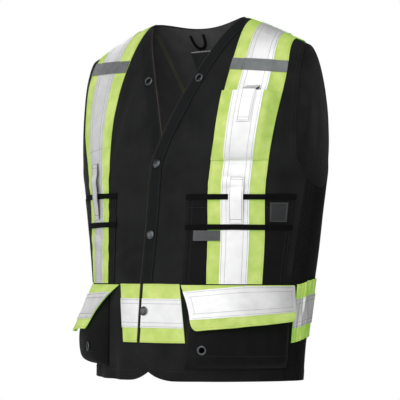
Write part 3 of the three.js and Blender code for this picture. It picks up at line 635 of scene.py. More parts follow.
def add_stitches(group, look, scale=1):
    found = [stitch_places(path, normals) for path, normals in THREADS[group]]
    centre, ahead, normal = (np.concatenate(part) for part in zip(*found))
    half, wide, high = STITCH.length / 2, scale * STITCH.width / 2, scale * STITCH.height
    straight, seat, foot = 0.6 * half, 0.2 * high, -0.4 * high
    ring = [(wide, seat), (0, high), (-wide, seat), (0, foot)]
    shape = [(-half, 0, -seat)]
    shape += [(t, s, n) for t in (-straight, straight) for s, n in ring]
    shape += [(half, 0, -seat)]
    axes = np.stack([ahead, np.cross(normal, ahead), normal], 1)
    points = centre[:, None] + np.array(shape) @ axes
    tips, quads = [], []
    for j in range(4):
        k = (j + 1) % 4
        tips += [(0, 1 + k, 1 + j), (9, 5 + j, 5 + k)]
        quads.append((1 + j, 1 + k, 5 + k, 5 + j))
    faces = []
    for base in range(0, len(centre) * len(shape), len(shape)):
        faces += [tuple(base + p for p in face) for face in tips + quads]
    return dress(new_object(group, points.reshape(-1, 3), faces), look)


# Materials
WEAVE = Kind(scale=0.314, wander=0.6, fibres=700)
TAPE_FACE = Kind(rubbed=55, detail=5, edges=(0.35, 0.65), rib=0.0016, beads=320, strength=0.12)
METAL_FACE = Kind(patches=260, grain=900, smoother=0.08, rougher=0.1)
BUMP_HEIGHT = 0.0003


def wire(made, sockets):
    """Sets a node's sockets, or joins them to other nodes' outputs."""
    for name, thing in sockets.items():
        if isinstance(thing, bpy.types.NodeSocket):
            made.id_data.links.new(thing, made.inputs[name])
        else:
            made.inputs[name].default_value = thing


def node(tree, kind, sockets=None, **values):
    made = tree.nodes.new(kind)
    for name, thing in values.items():
        setattr(made, name, thing)
    wire(made, sockets or {})
    return made


def grain_waves(tree, pitch, direction):
    """Fine ribs across the cloth's own grain, a pitch apart in metres."""
    grain = node(tree, "ShaderNodeTexCoord").outputs["UV"]
    scaled = node(tree, "ShaderNodeMapping", {"Vector": grain, "Scale": (1 / pitch, 1 / pitch, 1)})
    sockets = {"Vector": scaled.outputs["Vector"], "Scale": WEAVE.scale, "Distortion": WEAVE.wander}
    return node(tree, "ShaderNodeTexWave", sockets, bands_direction=direction).outputs["Fac"]


def speckle(tree, scale, detail=3):
    places = node(tree, "ShaderNodeTexCoord").outputs["Object"]
    sockets = {"Vector": places, "Scale": scale, "Detail": detail}
    return node(tree, "ShaderNodeTexNoise", sockets).outputs["Fac"]


def blend_colours(tree, factor, low, high, edges=(0.3, 0.7)):
    ramp = node(tree, "ShaderNodeValToRGB", {"Fac": factor})
    for stop, position, colour in zip(ramp.color_ramp.elements, edges, (low, high)):
        stop.position = position
        stop.color = (*colour, 1)
    return ramp.outputs["Color"]


def mixed(tree, a, b, operation):
    return node(tree, "ShaderNodeMath", {0: a, 1: b}, operation=operation).outputs[0]


def bumped(tree, shader, height, strength):
    bump = node(tree, "ShaderNodeBump", {"Height": height, "Strength": strength, "Distance": BUMP_HEIGHT})
    wire(shader, {"Normal": bump.outputs["Normal"]})


def new_material(name, **sockets):
    material = bpy.data.materials.new(name)
    material.use_nodes = True
    shader = material.node_tree.nodes["Principled BSDF"]
    wire(shader, {socket.replace("_", " "): amount for socket, amount in sockets.items()})
    return material, material.node_tree, shader


def woven(name, low, high, pitch, strength=0.5, twill=False, drift=38, **sockets):
    """Cloth with a fine weave, and a colour that drifts a little from place to place."""
    material, tree, shader = new_material(name, **sockets)
    wire(shader, {"Base Color": blend_colours(tree, speckle(tree, drift), low, high)})
    if twill:
        weave = grain_waves(tree, pitch, "DIAGONAL")
    else:
        warp = grain_waves(tree, pitch, "X")
        weave = mixed(tree, warp, grain_waves(tree, pitch, "Y"), "MULTIPLY")
    bumped(tree, shader, mixed(tree, weave, speckle(tree, WEAVE.fibres), "ADD"), strength)
    return material


def thread(name, low, high, roughness=0.8):
    return woven(name, low, high, 0.0005, 0.3, Roughness=roughness)


def taped(name, low, high, **sockets):
    """Silver tape: a smooth glass-bead face with faint ribs and rubbed places."""
    material, tree, shader = new_material(name, **sockets)
    rubbed = speckle(tree, TAPE_FACE.rubbed, TAPE_FACE.detail)
    wire(shader, {"Base Color": blend_colours(tree, rubbed, low, high, TAPE_FACE.edges)})
    ribs = grain_waves(tree, TAPE_FACE.rib, "X")
    bumped(tree, shader, mixed(tree, ribs, speckle(tree, TAPE_FACE.beads), "ADD"), TAPE_FACE.strength)
    return material


def metal(name, low, high, roughness):
    material, tree, shader = new_material(name, Metallic=1.0)
    colour = blend_colours(tree, speckle(tree, METAL_FACE.patches), low, high)
    span = {"To Min": roughness - METAL_FACE.smoother, "To Max": roughness + METAL_FACE.rougher}
    rough = node(tree, "ShaderNodeMapRange", {"Value": speckle(tree, METAL_FACE.grain), **span})
    wire(shader, {"Base Color": colour, "Roughness": rough.outputs["Result"]})
    return material


BLACK_SHEEN = dict(Roughness=0.8, Sheen_Weight=0.03, Sheen_Roughness=0.4, Specular_IOR_Level=0.18)
# Painted light: the lime cloth glows green of its own though it is no lamp, so its shaded parts stay green
# and bright.
LIME_GLOW = dict(Roughness=0.75, Specular_IOR_Level=0.2,
                 Emission_Color=(0.2, 1, 0.02, 1), Emission_Strength=0.24)
WEB_SHINE = dict(Roughness=0.85, Specular_IOR_Level=0.12)
twilled = partial(woven, twill=True, **BLACK_SHEEN)
# The panels' inner faces get a lining far lighter than the black outside: partly a lining cloth of its own,
# partly painted light where little light reaches inside.
LINING_PAINTED_LIGHT = twilled("lining_cloth", (0.062, 0.062, 0.063), (0.078, 0.078, 0.08), 0.0008)
LOOKS = {}


def add_look(look, slot, make, name, low, high, *values, **sockets):
    LOOKS[look] = Kind(slot=slot, material=make(name, low, high, *values, **sockets))


# The black cloth's colour drifts widely in broad patches: partly its own random tone and wear, partly painted
# sheen and soft fold shade.
add_look("black", "black_cloth", twilled, "black_cloth",
         (0.0062, 0.0064, 0.0068), (0.0148, 0.015, 0.0157), 0.0009, drift=15)
# A darker copy of the black cloth for the patch and cargo pockets: painted shade, for less light low on the
# vest.
add_look("pocket", "black_cloth", twilled, "pocket_cloth",
         (0.0032, 0.0033, 0.0035), (0.005, 0.0052, 0.0055), 0.0009)
add_look("mesh", "mesh_cloth", woven, "mesh_cloth",
         (0.0036, 0.0037, 0.004), (0.006, 0.0061, 0.0065), 0.0007, **BLACK_SHEEN)
add_look("edge", "edge_cloth", twilled, "edge_cloth",
         (0.0046, 0.0052, 0.0058), (0.0066, 0.0073, 0.008), 0.0007)
# Brown for the front edge cords: painted highlight, light catching the folded edge of the black cloth.
add_look("piping", "edge_cloth", woven, "piping_cloth",
         (0.03, 0.022, 0.018), (0.045, 0.034, 0.027), 0.0007, 0.4, Roughness=0.7)
add_look("lime", "lime_cloth", woven, "lime_cloth",
         (0.47, 0.44, 0.14), (0.67, 0.58, 0.26), 0.0008, 0.35, **LIME_GLOW)
add_look("silver", "silver_tape", taped, "silver_tape",
         (0.88, 0.88, 0.885), (0.95, 0.95, 0.955), Metallic=0.7, Roughness=0.56)
add_look("grey", "grey_tape", taped, "grey_tape",
         (0.15, 0.162, 0.162), (0.2, 0.213, 0.213), Metallic=0.3, Roughness=0.55)
add_look("web", "webbing", woven, "webbing_cloth",
         (0.002, 0.002, 0.0022), (0.0035, 0.0035, 0.0038), 0.0014, 0.8, **WEB_SHINE)
add_look("label", "label_cloth", woven, "label_cloth",
         (0.017, 0.018, 0.019), (0.027, 0.028, 0.03), 0.0006, Roughness=0.8)
add_look("tag", "label_cloth", woven, "tag_cloth",
         (0.075, 0.077, 0.082), (0.1, 0.102, 0.108), 0.0006, Roughness=0.8)
add_look("thread_grey", "label_cloth", thread, "grey_thread", (0.12, 0.12, 0.12), (0.17, 0.17, 0.17))
add_look("thread_bright", "silver_tape", thread, "bright_thread", (0.85, 0.85, 0.86), (0.92, 0.92, 0.93), 0.7)
add_look("metal", "gunmetal", metal, "gunmetal", (0.08, 0.088, 0.093), (0.14, 0.15, 0.156), 0.34)
# Grey for the white thread on the tapes: painted shade of the sunken stitch lines.
add_look("thread_white", "silver_tape", thread, "white_thread", (0.22, 0.22, 0.225), (0.3, 0.3, 0.305))
add_look("thread_lime", "lime_cloth", thread, "lime_thread", (0.42, 0.58, 0.07), (0.5, 0.66, 0.1))
add_look("thread_black", "black_cloth", thread, "black_thread",
         (0.01, 0.01, 0.0107), (0.014, 0.014, 0.015), 0.7)
# The black cloth again, for inner faces and rims where it is painted shade: inside the chest pocket and the
# tabs.
PAINTED_SHADE_BLACK = LOOKS["black"].material


# Offsets of the layers on a front
def strip_offset(z):
    return ON_PANEL + (PATCH + GAP) * (1 - smooth(z, STRIP_STEP.low, STRIP_STEP.high))


def strip_by_row(column, row):
    return strip_offset(height_at(row))


def between(column, columns, soft):
    """One between two columns, falling softly to nothing beside them."""
    first, last = columns
    return np.minimum(smooth(column, first - soft, first), 1 - smooth(column, last, last + soft))


def over_webbing(column, z):
    on_strip = strip_offset(z) + STRIP + TAPE + 3 * GAP
    return lerp(ON_PATCH, on_strip, between(column, STRIP_COLUMNS, WEBBING_SLOPE))


# Panels
def pierce(piece, seat):
    """Cuts an eyelet's round hole through a piece."""
    bpy.ops.mesh.primitive_cylinder_add(vertices=DRILL.sides, radius=EYELET_HOLE * MM, depth=DRILL.depth * MM)
    drill = bpy.context.object
    drill.matrix_world = seat
    cut = piece.modifiers.new("hole", "BOOLEAN")
    cut.object = drill
    cut.solver = "EXACT"
    bpy.context.view_layer.update()
    shaped = bpy.data.meshes.new_from_object(piece.evaluated_get(bpy.context.evaluated_depsgraph_get()))
    piece.modifiers.clear()
    piece.data = shaped
    bpy.data.objects.remove(drill)


def seat_on(at, a, b, offset):
    """The place and turn of a round fitting on a surface, its axis along the surface's normal."""
    a, b = np.array([[float(a)]]), np.array([[float(b)]])
    foot = at(a, b, np.array([[offset]]))[0, 0]
    normal = Vector(at(a, b, np.array([[offset + 1.0]]))[0, 0] - foot)
    return Matrix.Translation(Vector(foot) * MM) @ normal.to_track_quat("Z", "Y").to_matrix().to_4x4()


def neck_seat(side):
    row = row_at_height(FRONT, NECK_HALF, NECK_EYELET.z)
    return seat_on(partial(front_at, side), NECK_EYELET.column, row, ON_PANEL + STRIP + FITTING_SEAT)


HEM_SEAM_ROW = -1 + (HEM_FOLD.height - HEM_FOLD.seam) / (ARM_Z - HEM_Z)
ARMHOLE_SEWN = lines(0.12, TOP_STITCH_ROW, 90)


def hemmed(row):
    height = (row + 1) * (ARM_Z - HEM_Z)
    return PANEL + HEM_FOLD.bulge * (1 - smooth(height, HEM_FOLD.height - HEM_FOLD.soft, HEM_FOLD.height))


def front_panel(side):
    at = partial(cornered_at, side)
    zones = [lines(0, 1, 8), lines(1, 4, 22), lines(4, 8, 22), lines(8, 9.6, 10), lines(9.6, LAST_COLUMN, 5)]
    across = joined(*zones)
    along = joined(lines(-1, HEM_FOLD.top_row, 6), lines(HEM_FOLD.top_row, 0, 84), crowded(0, 1, 84))

    def thickness(column, row):
        edge = (outer_edge(row) - front_column(side, column, row)) * (row > ARMHOLE_ROWS.seam_top)
        arm = (1 - smooth(edge, ARM_FOLD.width - ARM_FOLD.soft, ARM_FOLD.width)) * smooth(row, *ARM_FOLD.rows)
        return hemmed(row) + ARM_FOLD.bulge * arm

    piece = add_sheet(side.panel, "black", across, along, at, 0, thickness, lining=LINING_PAINTED_LIGHT)
    pierce(piece, neck_seat(side))
    sew(BLACK_FRONT, at, lines(0.15, 9.9, 120), HEM_SEAM_ROW, PANEL + HEM_FOLD.bulge)
    arm_at = partial(armhole_at, FRONT, side)
    sew(BLACK_FRONT, arm_at, ARM_FOLD.width - ARM_FOLD.soft, ARMHOLE_SEWN, PANEL + ARM_FOLD.bulge)


def back_panel():
    across = lines(-1, 1, 120)
    along = joined(lines(-1, HEM_FOLD.top_row, 6), lines(HEM_FOLD.top_row, 0, 70), crowded(0, 1, 80))
    thickness = lambda part, row: hemmed(row)
    add_sheet("back_panel", "black", across, along, back_at, 0, thickness, lining=LINING_PAINTED_LIGHT)
    sew(BLACK_BACK, back_at, lines(-0.99, 0.99, 160), HEM_SEAM_ROW, PANEL + HEM_FOLD.bulge)
    for side in SIDES:
        sew(BLACK_BACK, partial(armhole_at, BACK, side), ARM_FOLD.width - ARM_FOLD.soft, ARMHOLE_SEWN, PANEL)


AROUND = [(-1, -1), (0, -1), (1, -1), (1, 0), (1, 1), (0, 1), (-1, 1), (-1, 0)]


def mesh_places(wide, tall):
    """A lattice in half cells, with the holes' corners after it, and the rings of open and closed cells."""
    columns, rows = 2 * wide + 1, 2 * tall + 1
    i, j = np.meshgrid(np.arange(columns), np.arange(rows))
    cell_i, cell_j = i[1::2, 1::2].ravel(), j[1::2, 1::2].ravel()
    cells = np.stack([(cell_j + q) * columns + cell_i + p for p, q in AROUND], -1)
    is_open = cell_j * (ARM_Z - HEM_Z) / (2 * tall) > MESH.hem
    hole_i, hole_j = [], []
    for p, q in AROUND:
        spread = MESH.hole * (MESH.hole_corner if p and q else 1)
        hole_i.append(cell_i[is_open] + spread * p)
        hole_j.append(cell_j[is_open] + spread * q)
    every_i = np.concatenate([i.ravel(), np.stack(hole_i, -1).ravel()])
    every_j = np.concatenate([j.ravel(), np.stack(hole_j, -1).ravel()])
    return every_i, every_j, cells[is_open], cells[~is_open]


def mesh_faces(lattice, ring, closed, size):
    """The faces round the holes, through them and along the rim, and those of the closed cells."""
    hole = lattice.size + np.arange(ring.size).reshape(ring.shape)
    next_ring, next_hole = np.roll(ring, -1, 1), np.roll(hole, -1, 1)
    web = np.stack([ring, next_ring, next_hole, hole], -1).reshape(-1, 4)
    bore = np.stack([hole, next_hole, next_hole + size, hole + size], -1).reshape(-1, 4)
    faces = np.concatenate([web, web[:, ::-1] + size, bore, rim_walls(lattice, size)])
    return faces, np.concatenate([closed, closed[:, ::-1] + size])


def side_mesh(side):
    """An open knitted mesh: a lattice of cells, each with an eight-sided hole through it, except the closed
    cells along the hem.
    """
    reach = 1 - SIDE_SEAM_TURN
    wide = int(reach * math.pi * MESH.radius / MESH.pitch)
    tall = int((ARM_Z - HEM_Z) / MESH.pitch)
    every_i, every_j, ring, closed = mesh_places(wide, tall)
    turn = SIDE_SEAM_TURN + reach * every_i / wide
    seam_top = float(height_at(np.array(ARMHOLE_ROWS.seam_top)))
    top = lerp(ARM_Z, seam_top, ((turn - 1) / reach) ** 2)
    z = lerp(HEM_Z, top, every_j / (2 * tall))
    size = len(turn)
    points = np.concatenate([ring_at(side.sign * turn, z, np.full(size, offset)) for offset in (PANEL, 0)])
    lattice = np.arange((2 * tall + 1) * (2 * wide + 1)).reshape(2 * tall + 1, 2 * wide + 1)
    faces, whole = mesh_faces(lattice, ring, closed, size)
    if side.sign < 0:
        faces, whole = faces[:, ::-1], whole[:, ::-1]
    used = np.unique(np.concatenate([faces.ravel(), whole.ravel()]))
    renumber = np.full(len(points), -1)
    renumber[used] = np.arange(len(used))
    name = f"side_mesh_{side.name}"
    piece = new_object(f"{name}_cloth", points[used], renumber[faces].tolist() + renumber[whole].tolist())
    dress(piece, "mesh", name)


# Edge bands with a cord along each edge; the front cords' brown is a painted highlight on the lit edge
def edge_band(side):
    bottom = STRIP_FOOT_ROW if side.laps else RIGHT_BAND.foot
    full = lambda row: 1 if side.laps else smooth(row, *RIGHT_BAND.thins)
    inner = lambda column, row: lerp(PANEL + RIGHT_BAND.clearance, ON_PANEL, full(row)) + 0 * column
    thickness = lambda column, row: lerp(RIGHT_BAND.thickness, STRIP, full(row)) + 0 * column
    over = lambda column, row: inner(column, row) + thickness(column, row)
    at = partial(front_at, side)
    across = lines(0, 1, 8, 0.04)
    along = joined(lines(bottom, max(bottom, 0), 44), crowded(max(bottom, 0), 1, 90))
    name = f"front_{side.name}_edge_band"
    piece = add_sheet(name, "edge", across, along, at, inner, thickness)
    pierce(piece, neck_seat(side))
    sew_columns(BLACK_FRONT, at, EDGE_BAND_SEWN, lines(bottom + 0.01, TOP_STITCH_ROW, 150), over)
    rows = lines(*(PIPING.left if side is LEFT else PIPING.right))
    path = cornered_at(side, np.full(rows.shape, PIPING.column), rows, np.full(rows.shape, PIPING.offset))
    tube(f"front_{side.name}_piping", path, PIPING.radius, "piping")


def armhole_piping(side):
    rows = lines(*ARM_PIPING.rows)
    path = armhole_at(FRONT, side, ARM_PIPING.inset, rows, np.full(rows.shape, ARM_PIPING.offset))
    tube(f"armhole_{side.name}_piping", path, ARM_PIPING.radius, "edge")


def back_neck_band():
    def at(part, row, offset):
        half = lerp(BACK_BAND.lower_half, BACK_BAND.upper_half, (row - BACK_BAND.row) / (1 - BACK_BAND.row))
        return panel_at(BACK, part * half, row, offset)

    rows = crowded(BACK_BAND.row, 1, 12)
    add_sheet("back_neck_band", "edge", lines(-1, 1, 60), rows, at, ON_BACK, STRIP)
    sew(BLACK_BACK, at, lines(-0.97, 0.97, 60), BACK_BAND.row + 0.008, ON_BACK + STRIP)


# Bright strips with their silver tape, sewn down along both edges
def upright_strip(name, at, foot, plan, base, groups):
    along = joined(lines(foot, 0, 60), crowded(0, 1, 90))
    strip_across, tape_across = lines(*plan.strip, 28, plan.border), lines(*plan.tape, 16, plan.border)
    on_strip = raised(base, STRIP + GAP)
    add_sheet(name, "lime", strip_across, along, at, base, STRIP)
    add_sheet(f"{name}_tape", "silver", tape_across, along, at, on_strip, TAPE)
    rows = lines(foot + 0.005, TOP_STITCH_ROW, 160)
    lime, white = groups
    sew_columns(lime, at, plan.strip_sewn, rows, raised(base, STRIP))
    sew_columns(white, at, plan.tape_sewn, rows, raised(on_strip, TAPE))


def front_strip(side):
    at = partial(front_at, side)
    upright_strip(side.strip, at, STRIP_FOOT_ROW, FRONT_STRIP, strip_by_row, FRONT_GROUPS)
    over_lime = raised(strip_by_row, STRIP)
    over_tape = raised(over_lime, GAP + TAPE)
    seams = [(row, SHOULDER_SEAMS) for row in SHOULDER_SEAM_ROWS]
    if side is RIGHT:
        seams.append((RIGHT_STRIP_SEAM_ROW, WHITE_FRONT))
    for row, group in seams:
        sew(group, at, lines(*TAPE_COLUMNS, 14), row, over_tape)
        for columns in BESIDE_TAPE:
            sew(LIME_FRONT, at, lines(*columns, 8), row, over_lime)


def back_strip(side):
    crossing = lerp(WAIST_Z, TIP_Z, -CROSS.bottom / (CROSS.top - CROSS.bottom))

    def at(column, row, offset):
        middle = lerp(CROSS.bottom, CROSS.top, (height_at(row) - WAIST_Z) / (TIP_Z - WAIST_Z))
        return panel_at(BACK, side.sign * (middle + CROSS.half * column), row, offset)

    def base(column, row):
        away = np.abs(height_at(row) - crossing)
        lift = CROSS.lift * (1 - smooth(away, CROSS.lift_to, CROSS.lift_gone))
        return ON_BACK + (lift if side is RIGHT else 0)

    name = f"back_strip_{side.name}_shoulder"
    upright_strip(name, at, BACK_FOOT_ROW, BACK_STRIP, base, BACK_GROUPS)


def inside_seam(side):
    """Two lines of bright thread down the inside of the back, below each shoulder."""
    at = lambda inset, row, offset: panel_at(BACK, side.sign * (INSIDE_SEAM(row) - inset), row, offset)
    sew_columns(LIME_INSIDE, at, INSIDE_SEAM_LINES, lines(0.3, 0.97, 110), -0.1)


def shoulder_tape(side):
    tape = SHOULDER_TAPES[side.name]
    first, last = STRIP_COLUMNS

    def at(column, part, offset):
        top = lerp(tape.inner, tape.outer, (column - first) / (last - first))
        return front_at_height(side, column, top - tape.drop * part, offset)

    def base(column, part):
        return ON_PANEL + STRIP + GAP + (TAPE + GAP) * between(column, TAPE_COLUMNS, SHOULDER_TAPE_SLOPE)

    across = lines(first - 0.03, last + 0.03, 44)
    name = f"shoulder_cross_tape_{side.name}"
    add_sheet(name, "grey", across, lines(1, 0, 8), at, base, TAPE)
    sew_rows(WHITE_FRONT, at, across, [0.08, 0.92], raised(base, TAPE))


# Waist band
def level_strip(name, at, across, counts, sewn, base, groups):
    low, high = WAIST_Z - STRIP_WIDTH, WAIST_Z
    first, last = low + TAPE_INSET, high - TAPE_INSET
    strip_rows, tape_rows = lines(low, high, counts[0], BORDER), lines(first, last, counts[1], BORDER)
    on_strip = raised(base, STRIP + GAP)
    add_sheet(name, "lime", across, strip_rows, at, base, STRIP)
    add_sheet(f"{name}_tape", "silver", across, tape_rows, at, on_strip, TAPE)
    edge, tape_edge, tape_inner = WAIST_SEWN.edge, WAIST_SEWN.tape_edge, WAIST_SEWN.tape_inner
    lime, white = groups
    sew_rows(lime, at, sewn, [low + edge, high - edge], raised(base, STRIP))
    rows = [first + tape_edge, first + tape_inner, last - tape_inner, last - tape_edge]
    sew_rows(white, at, sewn, rows, raised(on_strip, TAPE))


def waist_front(side):
    columns = WAIST_COLUMNS[side.name]

    def at(part, z, offset):
        end = lerp(columns.top, columns.foot, (WAIST_Z - z) / STRIP_WIDTH)
        return front_at_height(side, lerp(columns.start, end, part), z, offset)

    name = f"waist_band_front_{side.name}"
    across, sewn = lines(0, 1, 30), lines(0.02, 0.99, 60)
    level_strip(name, at, across, (34, 18), sewn, ON_PANEL, FRONT_GROUPS)


def gathers(turn, z):
    """The elastic at each side draws the band into small upright ripples."""
    away = np.minimum(np.abs(turn - 1), np.abs(turn - 3))
    drawn = 1 - smooth(away, GATHER.reach * 0.5, GATHER.reach)
    return GATHER.height * drawn * (1 + noise(turn / GATHER.pitch, z / GATHER.tall + 5))


def waist_back_at(turn, z, offset):
    """The band climbs a little from the fronts to the back."""
    away = np.minimum(turn, 4 - turn)
    return ring_at(turn, z + WAIST_RISE.height * smooth(away, WAIST_RISE.start, WAIST_RISE.end), offset)


def waist_back():
    start, end = WAIST_BACK_TURN, 4 - WAIST_BACK_TURN
    across, sewn = lines(start, end, 320), lines(start + 0.01, end - 0.01, 400)
    level_strip("waist_band_back", waist_back_at, across, (26, 14), sewn,
                raised(gathers, ON_BACK), BACK_GROUPS)


# The chest pocket and the tabs
def chest_offset(column, z):
    depth = CHEST_CURVE((z - CHEST_POCKET.seam) / (CHEST_POCKET.mouth - CHEST_POCKET.seam))
    first, last = STRIP_COLUMNS
    inner = smooth(column, first, first + CHEST_GUSSET.inner)
    outer = np.clip((last - column) / CHEST_GUSSET.outer, 0, 1)
    return strip_offset(z) + STRIP + GAP + (TAPE + GAP + depth) * np.minimum(inner, outer)


def chest_pocket():
    at = partial(front_at_height, LEFT)
    over_wall = raised(chest_offset, CHEST_WALL)
    tape_at = raised(over_wall, GAP)
    over_tape = raised(tape_at, TAPE)
    first, last = STRIP_COLUMNS
    low, high = TAPE_COLUMNS
    crease = last - CHEST_GUSSET.outer
    across = joined(lines(first, 4.3, 10), lines(4.3, crease, 20), lines(crease, last, 8))
    heights = lines(CHEST_POCKET.seam, CHEST_POCKET.mouth, 44, BORDER)
    name = "chest_pocket_left"
    # The pocket's inner face is black: painted shade, darkening the pocket mouth beside the tab.
    add_sheet(name, "lime", across, heights, at, chest_offset, CHEST_WALL, PAINTED_SHADE_BLACK)
    tape_across = lines(low, high, 16, FRONT_STRIP.border)
    add_sheet("chest_pocket_tape_left", "silver", tape_across, heights, at, tape_at, TAPE)
    rows = lines(CHEST_POCKET.seam + 3, CHEST_POCKET.mouth - 1, 50)
    sew_columns(WHITE_FRONT, at, FRONT_STRIP.tape_sewn, rows, over_tape)
    seam_z = CHEST_POCKET.seam + 2.5
    sew(LIME_FRONT, at, lines(first + 0.05, low, 12), seam_z, over_wall)
    sew(LIME_FRONT, at, lines(high, last - 0.05, 12), seam_z, over_wall)
    sew(WHITE_FRONT, at, lines(low, high, 16), seam_z, over_tape)


def add_tab(name, side, columns, heights, base, sewn, ends):
    """A silver tab with its outline sewn; it is black inside and along its rim, painted shade for the dark
    gaps under and beside the tab.
    """
    at = partial(front_at_height, side)
    left, right = columns
    across = lines(left, right, 10, 0.03)
    # Inside and rim black: painted shade for the dark gaps under and beside the tab.
    add_sheet(name, "silver", across, heights, at, base, TAB, PAINTED_SHADE_BLACK, rim=True)
    over = raised(base, TAB)
    sew_columns(BLACK_FRONT, at, [left + TAB_SEWN.side, right - TAB_SEWN.side], sewn, over)
    sew_rows(BLACK_FRONT, at, lines(left + TAB_SEWN.end, right - TAB_SEWN.end, 10), ends, over)


def chest_tab():
    low, high = CHEST_TAB.bottom, CHEST_TAB.top
    bend = CHEST_POCKET.mouth + CHEST_TAB.over_mouth

    def base(column, z):
        on_strip = strip_offset(z) + STRIP + TAPE + 2 * GAP
        pocket = chest_offset(MIDDLE_COLUMN, np.minimum(z, CHEST_POCKET.mouth))
        return lerp(on_strip, pocket + CHEST_WALL + TAPE + 2 * GAP, 1 - smooth(z, bend, high))

    sewn, ends = lines(low + 2, high - 12, 30), [low + 2, low + 7, high - 8, high - 2]
    heights = lines(low, high, 48, BORDER)
    add_tab("chest_pocket_tab", LEFT, CHEST_TAB.columns, heights, base, sewn, ends)


def tool_tab(side):
    low, high = TOOL_TABS[side.name].bottom, TOOL_TABS[side.name].top

    def base(column, z):
        bow = TOOL_TAB_BOW * np.sin(np.pi * (z - low) / (high - low))
        return strip_offset(z) + STRIP + TAPE + 3 * GAP + bow

    sewn, ends = lines(low + 2, high - 2, 36), [low + 7, high - 2, high - 8]
    heights = lines(low, high, 40, BORDER)
    name = f"tool_tab_{side.name}"
    add_tab(name, side, TOOL_TAB_COLUMNS, heights, base, sewn, ends)


# Patch pockets, webbing and bare labels
def patch_pocket(side):
    start, end = PATCH_POCKET.columns[side.name]
    first, last = STRIP_COLUMNS
    at = partial(front_at_height, side)
    heights = lines(PATCH_POCKET.bottom, PATCH_POCKET.top, 44, BORDER)
    across = joined(lines(start, first, 12, 0.04), lines(first, last, 16), lines(last, end, 14, 0.04))
    add_sheet(f"patch_pocket_{side.name}", "pocket", across, heights, at, ON_PANEL, PATCH)
    rows = lines(PATCH_POCKET.bottom + 3, PATCH_POCKET.top - 2, 60)
    columns = [start + 0.08, start + 0.32, end - 0.3, end - 0.08]
    sew_columns(BLACK_FRONT, at, columns, rows, ON_PANEL + PATCH)
    for pair in ((start + 0.1, first - 0.05), (last + 0.05, end - 0.1)):
        sew(BLACK_FRONT, at, lines(*pair, 30), PATCH_POCKET.top - 24, ON_PANEL + PATCH)


def webbing(side, level):
    top = WEBBING_TOPS[level][side.name]
    across, heights = lines(*WEBBING_COLUMNS[side.name], 110), lines(top - WEBBING_HEIGHT, top, 6)
    at = partial(front_at_height, side)
    add_sheet(f"webbing_{level}_{side.name}", "web", across, heights, at, over_webbing, WEBBING)


def label(name, look, place, inner):
    at = partial(front_at_height, LEFT)
    left, right = place.columns
    low, high = place.bottom, place.top
    across, heights = lines(left, right, 20, 0.03), lines(low, high, 14, 0.6)
    add_sheet(name, look, across, heights, at, inner, PATCH)
    sew_rows(LABEL_EDGES, at, lines(left + 0.05, right - 0.05, 16), [low + 1.5, high - 1.5], inner + PATCH)
    sew_columns(LABEL_EDGES, at, [left + 0.06, right - 0.06], lines(low + 2, high - 2, 12), inner + PATCH)


# Cargo pockets
def cargo_offset(turn, z):
    inner, outer = CARGO.turns
    part = 2 * (turn - inner) / (outer - inner) - 1
    spread = 1 - np.abs(part) ** CARGO_SQUARENESS
    crease = CARGO_CREASE
    drawn = smooth(spread, *crease.fades) * smooth(z, crease.low, crease.full)
    creased = crease.height * noise(turn * crease.across + 3, z / crease.along) * drawn
    return CARGO.base + (CARGO_CURVE(z) + creased) * spread


def cargo_at(side, turn, z, offset):
    return ring_at(side.sign * turn, z, offset)


def cargo_seat(side):
    turn, z = np.array(CARGO_EYELET.turn), np.array(CARGO_EYELET.z)
    return seat_on(partial(cargo_at, side), turn, z, float(cargo_offset(turn, z)) + POUCH + FITTING_SEAT)


def cargo_pocket(side):
    at = partial(cargo_at, side)
    start, end = CARGO.turns
    first, last = start + CARGO.bend, end - CARGO.bend
    across = joined(lines(start, first, 12), lines(first, last, 44), lines(last, end, 12))
    heights = joined(lines(CARGO.bottom, CARGO.round_to, 14), lines(CARGO.round_to, CARGO.mouth, 34))
    name = f"cargo_pocket_{side.name}"
    piece = add_sheet(name, "pocket", across, heights, at, cargo_offset, POUCH)
    pierce(piece, cargo_seat(side))
    sew(BLACK_FRONT, at, lines(start + 0.04, end - 0.04, 90), CARGO.seam, raised(cargo_offset, POUCH))


